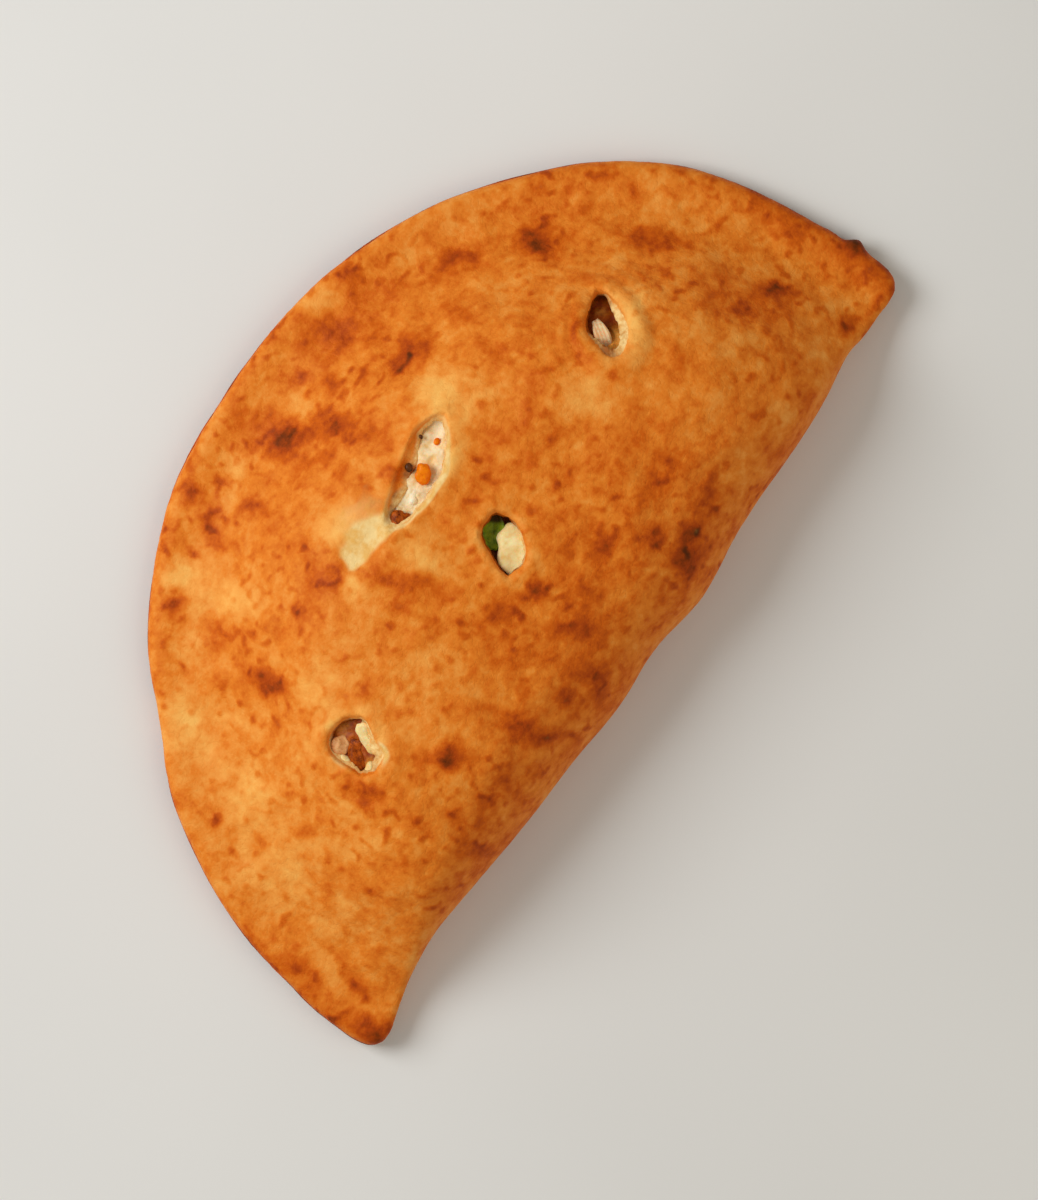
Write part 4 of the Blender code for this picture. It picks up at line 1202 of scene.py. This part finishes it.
@dataclass
class DoughShell:
    """The folded dough, pinched shut along its curved edge, with its relief and its torn vents."""

    voxel: float = 1.01 * MM
    smoothing: int = 12
    resting_height: float = 0.6 * MM
    resting_tilt: float = -0.8
    hidden_gap: float = 1.6 * MM
    hidden_from_vent: float = 5 * MM
    hidden_share: float = 0.05
    under_share: float = 0.22
    vent_zone: float = 3.4 * MM
    vent_height: float = 20 * MM
    vent_depth: float = 6 * MM
    rim_zone: float = 3 * MM
    rim_height: float = 8.0 * MM
    rim_tilt: float = 0.85
    least_relief: float = 0.35  # along the outline, from where it grows inwards
    relief_edge: tuple[float, float] = (1 * MM, 12 * MM)
    rim_side: tuple[float, float] = (1.5 * MM, 4 * MM)  # from the sealed edge
    rim_solid: tuple[float, float] = (4 * MM, 8 * MM)  # from the filling
    seam_height: float = 4.2 * MM
    seam_depth: float = 0.5 * MM
    seam_width: float = 0.6 * MM
    under_lip: float = 0.45 * MM
    under_lip_drop: float = 1.7 * MM
    under_lip_width: float = 1.0 * MM
    top_layer: tuple[float, float] = (16 * MM, 22 * MM)
    blister: float = 0.25 * MM
    trough_depth: float = 0.5 * MM
    lip_round: float = 0.35 * MM
    bin_width: float = 5.0  # degrees
    ripple_wave: float = 3.9 * MM
    ripple_fade: float = 9 * MM
    near_vent: float = 3 * MM
    round_vent: tuple[float, float] = (0.8 * MM, 6 * MM)  # where the skin is drawn to the torn edge
    lip_place: float = 1.5 * MM  # outside the torn edge
    lip_width: float = 1.5 * MM
    wall_depths: tuple[float, float] = (0.8 * MM, 2.8 * MM)
    wall_tilt: float = 0.6
    scorch: float = 0.66
    tip_bake: float = 0.22
    tips: tuple[float, float] = (118 * MM, 131 * MM)
    rim_bake: float = 0.30
    rim_bake_height: tuple[float, float] = (3.5 * MM, 5.5 * MM)
    rim_bake_zone: float = 8 * MM
    lip_bake: float = -0.10
    lip_bake_place: tuple[float, float] = (1.0 * MM, 2.0 * MM)
    # How strongly the walls darken deeper in the vents: sauce, and painted shade.
    soak: float = 0.5
    soak_depths: tuple[float, float] = (2.5 * MM, 6.0 * MM)
    pale_rim: tuple[float, float] = (0.5 * MM, 1.1 * MM)
    under_tilt: tuple[float, float] = (0.5, 0.9)
    under_height: float = 3 * MM
    layers: tuple[Layer, ...] = (
        Layer(15 * MM, 0.55 * MM, 1),
        Layer(7.2 * MM, 0.32 * MM, 2),
        Layer(3.8 * MM, 0.15 * MM, 3),
        Layer(9.5 * MM, 0.16 * MM, 4, creased=True),
        Layer(2.1 * MM, 0.06 * MM, 5),
    )
    torn_layers: tuple[Layer, ...] = (Layer(2.6 * MM, 0.55 * MM, 6), Layer(1.2 * MM, 0.25 * MM, 7))
    ragged: Layer = Layer(3.0 * MM, 0.7 * MM, 8)
    finish: BakedSkin = BakedSkin()
    piece: Piece | None = None

    def build(self) -> None:
        """Makes the dough from its solid."""
        self.piece = copy_of_node("dough", "dough_shell")
        self.even_out()
        self.draw_out()
        self.thin_out()
        self.refine()
        self.sculpt()
        self.stain()
        settle(self.piece, self.finish.material(), "dough", "dough")

    def even_out(self) -> None:
        """Rounds the solid's facets off and gives it small even faces."""
        apply_modifier(self.piece, "SUBSURF", levels=1, render_levels=1)
        apply_modifier(self.piece, "REMESH", mode="VOXEL", voxel_size=self.voxel, use_smooth_shade=True)
        apply_modifier(self.piece, "SMOOTH", factor=0.5, iterations=self.smoothing)

    def draw_out(self) -> None:
        """Draws the dough's edge to its real outline."""
        places = vertices_of(self.piece)[0]
        places[:, :2] += total(PULLS, places[:, :2])
        move_vertices(self.piece, places)

    def resting(self) -> Array:
        """True for each face that the dough lies on."""
        middles, normals = faces_of(self.piece)
        return (middles[:, 2] < self.resting_height) & (normals[:, 2] < self.resting_tilt)

    def thin_out(self) -> None:
        """Thins the faces that don't show: those round the filling, and those underneath."""
        middles = faces_of(self.piece)[0]
        inside = from_filling(middles) < self.hidden_gap
        inside &= from_vents(middles[:, :2]).min(axis=0) > self.hidden_from_vent
        thin_faces(self.piece, self.hidden_share, inside & ~self.resting())
        thin_faces(self.piece, self.under_share, self.resting())

    def refine(self) -> None:
        """Splits the faces at the vents and along the rim."""
        middles, normals = faces_of(self.piece)
        lay = Surroundings(middles, normals)
        height, tilt = middles[:, 2], abs(normals[:, 2])
        at_vent = (lay.from_vent < self.vent_zone) & (height > self.vent_height) & (lay.depth < self.vent_depth)
        at_rim = (lay.seal < self.rim_zone) & (height < self.rim_height) & (tilt < self.rim_tilt)
        split_faces(self.piece, 1, 0.6, at_vent | at_rim)

    def sculpt(self) -> None:
        """Gives the skin its relief, tears the vents' edges and parts the two layers at the rim."""
        lay = Surroundings(*vertices_of(self.piece))
        calm = self.least_relief + (1 - self.least_relief) * eased(lay.edge, *self.relief_edge)
        lift = lay.skin * calm * total(self.layers, lay.points)
        lift += lay.skin * self.blister * total(DARK_PATCHES, lay.plan)
        lift -= lay.skin * self.trough_depth * TROUGH.over(lay.plan)
        lift += lay.wall * total(self.torn_layers, lay.points)
        uneven = 1 + self.ragged.over(lay.points) / MM
        for vent, outside in zip(VENTS, lay.from_vents):
            lift += lay.skin * self.ripples(vent, lay, outside)
            lift += lay.skin * total(vent.creases, vent.bearing(lay.plan), outside)
            lift += lay.skin * vent.lip * hump(outside, self.lip_place, self.lip_width) * uneven
        lift += self.rim(lay)
        places = lay.points + lay.normals * lift[:, None] + self.slopes(lay)
        places[:, 2] = np.maximum(places[:, 2], 0)
        move_vertices(self.piece, places)

    def ripples(self, vent: Vent, lay: Surroundings, outside: Array) -> Array:
        """The folds that ring a vent, which run unevenly and die away.

        Args:
            vent: The vent.
            lay: Where the points lie.
            outside: How far each lies outside the vent.

        Returns:
            The folds' height at each point.
        """
        drift = Layer(16 * MM, 1.6, vent.seed).over(lay.points)
        strength = 1 + Layer(11 * MM, 1.4, vent.seed + 1).over(lay.points)
        fading = np.exp(-np.maximum(outside, 0) / self.ripple_fade)
        return vent.ripple * strength * fading * np.cos(2 * math.pi * outside / self.ripple_wave + drift)

    def rim(self, lay: Surroundings) -> Array:
        """The sealed rim's groove where the layers meet, and the lower layer's lip.

        Args:
            lay: Where the points lie.

        Returns:
            How far the rim stands out at each point.
        """
        flat = lay.points * (1, 1, 0)
        above_seam = lay.points[:, 2] - (self.seam_height + Layer(28 * MM, 0.8 * MM, 11).over(flat))
        side = (1 - eased(lay.seal, *self.rim_side)) * eased(lay.from_filling, *self.rim_solid)
        uneven = 1 + Layer(13 * MM, 0.9, 12).over(flat)
        groove = self.seam_depth * uneven * hump(above_seam, 0, self.seam_width)
        lip = self.under_lip * uneven * hump(above_seam + self.under_lip_drop, 0, self.under_lip_width)
        return side * (lip - groove)

    def wall_reach(self, lay: Surroundings, vent: Vent, outside: Array) -> Array:
        """Distance from a vent's middle to its wall as it stands.

        Args:
            lay: Where the points lie.
            vent: The vent.
            outside: How far each point lies outside the vent.

        Returns:
            The distance in the direction of each point.
        """
        bearing, reach = vent.bearing(lay.plan), np.linalg.norm(vent.offset(lay.plan), axis=1)
        upright = (abs(outside) < self.near_vent) & (abs(lay.normals[:, 2]) < self.wall_tilt)
        upright &= (lay.depth > self.wall_depths[0]) & (lay.depth < self.wall_depths[1])
        bins = ((bearing[upright] + math.pi) / math.radians(self.bin_width)).astype(int)
        marks = np.unique(bins)
        reaches = [reach[upright][bins == mark].mean() for mark in marks]
        return np.interp(bearing, np.radians((marks + 0.5) * self.bin_width) - math.pi, reaches, period=2 * math.pi)

    def slopes(self, lay: Surroundings) -> Array:
        """How the dough and the vents' walls come in round the openings.

        Args:
            lay: Where the points lie.

        Returns:
            How far each point moves, one row each.
        """
        moves = np.zeros_like(lay.points)
        for vent, outside in zip(VENTS, lay.from_vents):
            bearing = vent.bearing(lay.plan)
            to_middle = -np.stack([np.cos(bearing), np.sin(bearing)], axis=1)
            near = (1 - eased(outside, *self.round_vent)) * eased(lay.points[:, 2], *self.top_layer)
            drawn = self.wall_reach(lay, vent, outside) + self.lip_round - vent.torn_edge(bearing)
            inwards = lay.wall * (outside < self.near_vent) * total(vent.ledges, bearing, lay.depth)
            moves[:, :2] += to_middle * (near * drawn)[:, None] + vent.inwards(lay.plan) * inwards[:, None]
        return moves

    def stain(self) -> None:
        """Marks where the skin is darker or paler, where crumb shows, where the vents' walls are darkened by sauce and
        painted shade, and what is underneath.
        """
        lay = Surroundings(*vertices_of(self.piece), torn=True)
        waves = ((Layer(5.0 * MM, 1.6 * MM, seed), Layer(1.9 * MM, 0.5 * MM, seed + 2)) for seed in (21, 22))
        plan = lay.plan + np.stack([total(pair, lay.points) for pair in waves], axis=1)
        # bake carries the broad patches' painted light and shade along with the browning.
        bake = self.scorch * np.tanh(total(DARK_PATCHES, plan)) + total(PALE_PATCHES, plan)
        bake += self.tip_bake * eased(abs(lay.plan[:, 0]), *self.tips)
        low = 1 - eased(lay.points[:, 2], *self.rim_bake_height)
        bake += self.rim_bake * low * (lay.seal < self.rim_bake_zone)
        bake += self.lip_bake * hump(lay.from_vent, *self.lip_bake_place)
        # Painted shade with sauce: the walls turn darker deeper under the skin.
        soak = self.soak * eased(lay.depth, *self.soak_depths)
        pale = TROUGH.over(plan) + total(TROUGH_SHADES, plan)
        top = eased(lay.points[:, 2], *self.top_layer)
        for vent, outside in zip(VENTS, lay.from_vents):
            bearing = vent.bearing(lay.plan)
            # Painted shade with sauce on each vent's shaded sides.
            soak += total(vent.soaks, bearing, outside) * (outside < self.near_vent)
            # Pale rims: torn dough, and partly painted highlight on the vents' lit sides.
            pale += total(vent.rims, bearing, outside) * hump(outside, *self.pale_rim)
        under = eased(-lay.normals[:, 2], *self.under_tilt) * (lay.points[:, 2] < self.under_height)
        mark_vertices(self.piece, bake=bake, pale=pale * top, crumb=lay.wall * top, soak=soak * top, under=under)


@dataclass
class Filling:
    """The curd filling, of which only the surface under the vents shows."""

    zone: float = 3.0 * MM
    zone_tilt: float = 0.2
    swell: float = 6.0 * MM
    swell_reach: float = 4 * MM
    facing_up: tuple[float, float] = (0.1, 0.5)
    curd_reach: tuple[float, float] = (-1.0 * MM, 1.5 * MM)
    sauce_reach: tuple[float, float] = (4 * MM, 9 * MM)
    cuts: tuple[int, int] = (3, 2)
    sinking: float = 0.25 * MM
    curds: tuple[Layer, ...] = (
        Layer(3.8 * MM, 1.0 * MM, 31),
        Layer(1.9 * MM, 0.38 * MM, 32),
        Layer(0.9 * MM, 0.12 * MM, 33),
    )
    # The first three patches paint light in the round vent where its filling and wall are lit; the other three are tan
    # in the torn vent.
    tan_and_light_patches: tuple[Patch, ...] = (
        Patch(74.1, -3.0, 3.6, 2.6, -56, 0.55),
        Patch(66.3, -10.0, 6.0, 4.6, 60, 0.8),
        Patch(70.2, -11.8, 7.0, 5.0, 35, 1.2),
        Patch(-69.6, -16.0, 5.5, 3.5, 80, 0.8),
        Patch(-61.8, -9.2, 8.0, 5.0, 20, 0.45),
        Patch(-65.4, -20.7, 5.0, 4.0, 0, 0.5),
    )
    finish: CurdFinish = CurdFinish()

    def build(self) -> None:
        """Makes the filling from its solid."""
        filling = copy_of_node("cheese_filling", "curd_filling")
        for cuts in self.cuts:
            middles, normals = faces_of(filling)
            close = from_vents(middles[:, :2]).min(axis=0) < self.zone
            split_faces(filling, cuts, 0.5, close & (normals[:, 2] > self.zone_tilt))
        places, normals = vertices_of(filling)
        outside = from_vents(places[:, :2], torn=True)
        upwards = eased(normals[:, 2], *self.facing_up)
        near = (1 - eased(outside, *self.curd_reach)) * upwards
        for vent, away in zip(VENTS, outside):
            rise = total(vent.rises, vent.bearing(places[:, :2]), -away)
            room = vent.skin_over(places[:, :2]) - vent.sunk + rise - places[:, 2]
            lift = np.clip(room, np.minimum(rise, 0), self.swell)
            places[:, 2] += lift * (1 - eased(away, 0, self.swell_reach)) * upwards
        strength = sum(vent.curd * share for vent, share in zip(VENTS, near))
        places += normals * (strength * (total(self.curds, places) - self.sinking))[:, None]
        move_vertices(filling, places)
        sauce = sum(vent.sauce * (1 - eased(away, *self.sauce_reach)) for vent, away in zip(VENTS, outside))
        mark_vertices(filling, sauce=sauce, tan=total(self.tan_and_light_patches, places[:, :2]))
        settle(filling, self.finish.material(), "filling", "cheese_filling")


@dataclass(frozen=True)
class Fit:
    """How a small piece is drawn out from its solid: by how much along, across and up, and moved by how far."""

    turn: float  # the direction of its length, in degrees from +X
    stretch: tuple[float, float, float]
    shift: tuple[float, float, float]  # mm
    rounding: float = 0.0  # how far it turns to an egg shape, from 0 to 1

    def apply(self, piece: Piece) -> None:
        """Draws a piece out about the middle of its box.

        Args:
            piece: The piece.
        """
        places = vertices_of(piece)[0]
        middle = (places.min(axis=0) + places.max(axis=0)) / 2
        c, s = math.cos(math.radians(self.turn)), math.sin(math.radians(self.turn))
        axes = np.array([[c, s, 0], [-s, c, 0], [0, 0, 1]])
        drawn = (places - middle) @ axes.T * np.array(self.stretch)
        half = abs(drawn).max(axis=0)
        egg = drawn / np.maximum(np.linalg.norm(drawn / half, axis=1), 0.05)[:, None]
        drawn += self.rounding * (egg - drawn)
        move_vertices(piece, drawn @ axes + middle + np.array(self.shift) * MM)

    def cut_out(self, node: str, name: str, smoothness: float) -> Piece:
        """Starts a small piece from its solid.

        Args:
            node: The CAD node's name.
            name: The piece's name.
            smoothness: How far its small faces bulge.

        Returns:
            The piece, drawn out, with small faces.
        """
        piece = copy_of_node(node, name)
        self.apply(piece)
        split_faces(piece, 3, smoothness)
        return piece


def roughen(piece: Piece, layers: tuple[Layer, ...]) -> None:
    """Gives a piece the layers' lumps."""
    places, normals = vertices_of(piece)
    move_vertices(piece, places + normals * total(layers, places)[:, None])


class Bite(Enum):
    """The kinds of small lump in the filling, each with its slot name and its finish."""

    CHEESE = ("cheese", MorselFinish("melted_cheese", srgb(255, 236, 176), srgb(242, 204, 126), 4.5, 0.36, 0.10, 0.2))
    HAM = ("ham", MorselFinish("cooked_ham", srgb(236, 180, 122), srgb(196, 130, 72), 2.2, 0.40, 0.12))
    SAUSAGE = ("sausage", MorselFinish("fried_sausage", srgb(188, 88, 10), srgb(92, 27, 2), 1.8, 0.5, 0.14, 0.03))
    TOMATO = ("tomato", MorselFinish("stewed_tomato", srgb(252, 138, 4), srgb(228, 96, 2), 2.4, 0.36, 0.08, 0.03))
    OLIVE = ("olive", MorselFinish("black_olive", srgb(104, 58, 26), srgb(54, 28, 12), 1.5, 0.3, 0.06))
    CURD = ("filling", MorselFinish("fresh_curd", srgb(255, 248, 224), srgb(250, 226, 180), 2.0, 0.36, 0.08, 0.2))

    def __init__(self, slot: str, finish: MorselFinish) -> None:
        """Keeps the slot and the finish of the kind."""
        self.slot = slot
        self.finish = finish


@dataclass(frozen=True)
class Morsel:
    """One small lump of the filling, which stands for the CAD node of its name."""

    node: str
    bite: Bite
    rough: tuple[Layer, ...]
    fit: Fit

    def build(self, material: Material) -> None:
        """Makes the lump from its solid.

        Args:
            material: The finish of its kind.
        """
        lump = self.fit.cut_out(self.node, self.node + "_piece", 0.8)
        roughen(lump, self.rough)
        settle(lump, material, self.bite.slot, self.node)


@dataclass(frozen=True)
class Crumb:
    """A crumb of the filling that is too small for a solid of its own. Places and sizes are in mm."""

    name: str
    bite: Bite
    place: tuple[float, float, float]
    size: tuple[float, float, float]
    turn: float
    rough: tuple[Layer, ...]

    def build(self, material: Material) -> None:
        """Makes the crumb.

        Args:
            material: The finish of its kind.
        """
        crumb = add_shape(
            bpy.ops.mesh.primitive_ico_sphere_add,
            self.name,
            subdivisions=4,
            radius=0.5 * MM,
            location=[c * MM for c in self.place],
            rotation=(0, 0, math.radians(self.turn)),
            scale=self.size,
        )
        roughen(crumb, self.rough)
        settle(crumb, material, self.bite.slot)


@dataclass
class Morsels:
    """All the small lumps and crumbs that show in the vents."""

    broken: tuple[Layer, ...] = (Layer(2.6 * MM, 0.6 * MM, 41), Layer(1.1 * MM, 0.18 * MM, 42))
    cut: tuple[Layer, ...] = (Layer(3.4 * MM, 0.3 * MM, 43), Layer(0.9 * MM, 0.05 * MM, 44))
    melted: tuple[Layer, ...] = (Layer(5.0 * MM, 1.5 * MM, 45), Layer(2.4 * MM, 0.35 * MM, 46))

    def build(self) -> None:
        """Makes every lump and crumb."""
        materials = {bite: bite.finish.material() for bite in Bite}
        broken, cut, melted = self.broken, self.cut, self.melted
        for lump in (
            Morsel("cheese_cube", Bite.CHEESE, melted, Fit(44, (1.5, 1.55, 1.0), (0.5, -0.9, 1.2), 0.5)),
            Morsel("cheese_shard", Bite.CHEESE, broken, Fit(62, (1.02, 1.3, 1), (2.0, -0.4, 1.8))),
            Morsel("ham_bit", Bite.HAM, broken, Fit(70, (1.15, 1.25, 1), (0, 1.0, 1.6))),
            Morsel("sausage_crumb", Bite.SAUSAGE, broken, Fit(15, (0.95, 0.95, 1.0), (-2.0, -0.9, 1.3))),
            Morsel("sausage_sliver", Bite.SAUSAGE, broken, Fit(44, (1.2, 1.7, 1.3), (0.4, 1.0, 1.6))),
            Morsel("tomato_dice", Bite.TOMATO, cut, Fit(34, (1.12, 0.88, 1), (0, 0, 0.7))),
            Morsel("olive_fleck", Bite.OLIVE, cut, Fit(40, (1.1, 1.1, 1), (0, 0, 1.2))),
            Crumb("tomato_speck", Bite.TOMATO, (18.7, 14.1, 33.9), (2.2, 1.8, 1.2), 20, cut),
            Crumb("olive_speck", Bite.OLIVE, (17.3, 18.5, 34.1), (1.5, 1.1, 1.0), 60, cut),
            Crumb("curd_speck", Bite.CURD, (2.2, 10.6, 34.6), (4.4, 3.2, 2.4), 30, broken),
            Crumb("cheese_strip", Bite.CHEESE, (-67.0, -21.6, 33.4), (4.6, 2.8, 2.6), 20, broken),
            Crumb("cheese_edge", Bite.CHEESE, (-68.6, -15.4, 31.4), (6.0, 2.4, 2.6), 80, broken),
        ):
            lump.build(materials[lump.bite])


@dataclass
class Leaf:
    """The green leaf at the end of the oval vent."""

    node: str = "basil_leaf"
    middle: tuple[float, float] = (6.9 * MM, -12.7 * MM)
    length: float = 10.4 * MM
    width: float = 6.2 * MM
    fit: Fit = Fit(31, (1.40, 1.48, 1.2), (0.5, 0, 1.0))
    side_veins: int = 6
    puff: float = 0.12 * MM
    rough: Layer = Layer(1.8 * MM, 0.15 * MM, 51)
    finish: LeafFinish = LeafFinish()

    def build(self) -> None:
        """Makes the leaf from its solid."""
        leaf = self.fit.cut_out(self.node, "green_leaf", 0.7)
        places, normals = vertices_of(leaf)
        offset = places[:, :2] - np.array(self.middle)
        along, across = turned(offset, self.fit.turn, self.length / 2, self.width / 2)
        rib = hump(across, 0, 0.07)
        sides = eased(np.cos(math.pi * self.side_veins * (along - 0.55 * abs(across))), 0.86, 1.0)
        vein = np.maximum(rib, 0.7 * sides * (1 - eased(abs(across), 0.75, 1.0)))
        puffed = self.puff * (1 - vein) + self.rough.over(places)
        move_vertices(leaf, places + normals * puffed[:, None])
        # Painted shade, darker towards the leaf's tip.
        mark_vertices(leaf, vein=vein, wilt=eased(along, 0.1, 0.85))
        settle(leaf, self.finish.material(), "leaf", self.node)


@dataclass
class Onion:
    """The curled slice of onion in the round vent."""

    node: str = "onion_curl"
    middle: tuple[float, float] = (68.9 * MM, -7.0 * MM)
    fit: Fit = Fit(57, (1.3, 1.45, 1.2), (-0.6, -0.6, 1.3))
    stripe: float = 1.0 * MM
    drift: Layer = Layer(3 * MM, 1.5, 52)
    finish: OnionFinish = OnionFinish()

    def build(self) -> None:
        """Makes the slice from its solid."""
        onion = self.fit.cut_out(self.node, "onion_slice", 0.9)
        places = vertices_of(onion)[0]
        across = turned(places[:, :2] - np.array(self.middle), self.fit.turn)[1]
        stripes = 0.5 + 0.5 * np.sin(2 * math.pi * across / self.stripe + self.drift.over(places))
        mark_vertices(onion, across=stripes)
        settle(onion, self.finish.material(), "onion", self.node)


# ---- studio


@dataclass
class Studio:
    """The floor, the soft lights and the camera that looks straight down."""

    target: Vector = field(default_factory=lambda: Vector((-4.75 * MM, -29.4 * MM, 0.0)))
    upwards: float = math.radians(-55.7)
    camera_height: float = 3.0
    shown_height: float = 334.8 * MM
    subject_height: float = 10 * MM
    sensor: float = 36.0
    floor_size: float = 8.0
    floor_gap: float = 0.2 * MM
    world_light: float = 0.298
    world_colour: Colour = (1.0, 0.985, 0.955)

    def build(self) -> None:
        """Sets the floor, the lights and the camera up."""
        self.floor()
        self.light("key", (-0.95, 0.28, 0.85), 0.75, 12.1, (0.97, 0.985, 1.0))
        self.light("fill", (0.75, -0.35, 0.9), 1.1, 3.1, (1.0, 0.91, 0.70))
        self.sky()
        self.camera()

    def floor(self) -> None:
        """Lays the floor just under the piece."""
        place = (0, 0, -self.floor_gap)
        floor = add_shape(bpy.ops.mesh.primitive_plane_add, "studio_floor", size=self.floor_size, location=place)
        dress(floor, FloorFinish().material())

    def light(self, name: str, place: tuple[float, float, float], size: float, power: float, colour: Colour) -> None:
        """Adds a soft light.

        Args:
            name: The light's name.
            place: How far right, up and above it stands in the picture.
            size: The side of its square.
            power: Its power in watts.
            colour: Its colour.
        """
        data = bpy.data.lights.new(name, "AREA")
        data.shape, data.size, data.energy, data.color = "SQUARE", size, power, colour
        lamp = bpy.data.objects.new(name, data)
        right, up, above = place
        c, s = math.cos(self.upwards), math.sin(self.upwards)
        lamp.location = self.target + Vector((right * c - up * s, right * s + up * c, above))
        lamp.rotation_euler = (self.target - lamp.location).to_track_quat("-Z", "Y").to_euler()
        bpy.context.scene.collection.objects.link(lamp)

    def sky(self) -> None:
        """Lights the scene evenly from all round."""
        world = bpy.data.worlds.new("studio")
        world.use_nodes = True
        background = world.node_tree.nodes["Background"]
        background.inputs["Color"].default_value = (*self.world_colour, 1)
        background.inputs["Strength"].default_value = self.world_light
        bpy.context.scene.world = world
        bpy.context.scene.view_settings.view_transform = "Standard"

    def camera(self) -> None:
        """Hangs the camera over the piece, turned as the picture is."""
        data = bpy.data.cameras.new("camera")
        data.sensor_width = self.sensor
        data.lens = self.sensor * (self.camera_height - self.subject_height) / self.shown_height
        camera = bpy.data.objects.new("camera", data)
        camera.location = self.target + Vector((0, 0, self.camera_height))
        camera.rotation_euler = (0, 0, self.upwards)
        bpy.context.scene.collection.objects.link(camera)
        bpy.context.scene.camera = camera


def main() -> None:
    """Builds the pieces and the studio."""
    logging.basicConfig(level=logging.INFO, format="%(name)s %(message)s")
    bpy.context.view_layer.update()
    for part in (DoughShell(), Filling(), Morsels(), Leaf(), Onion(), Studio()):
        part.build()


if __name__ == "__main__":
    main()
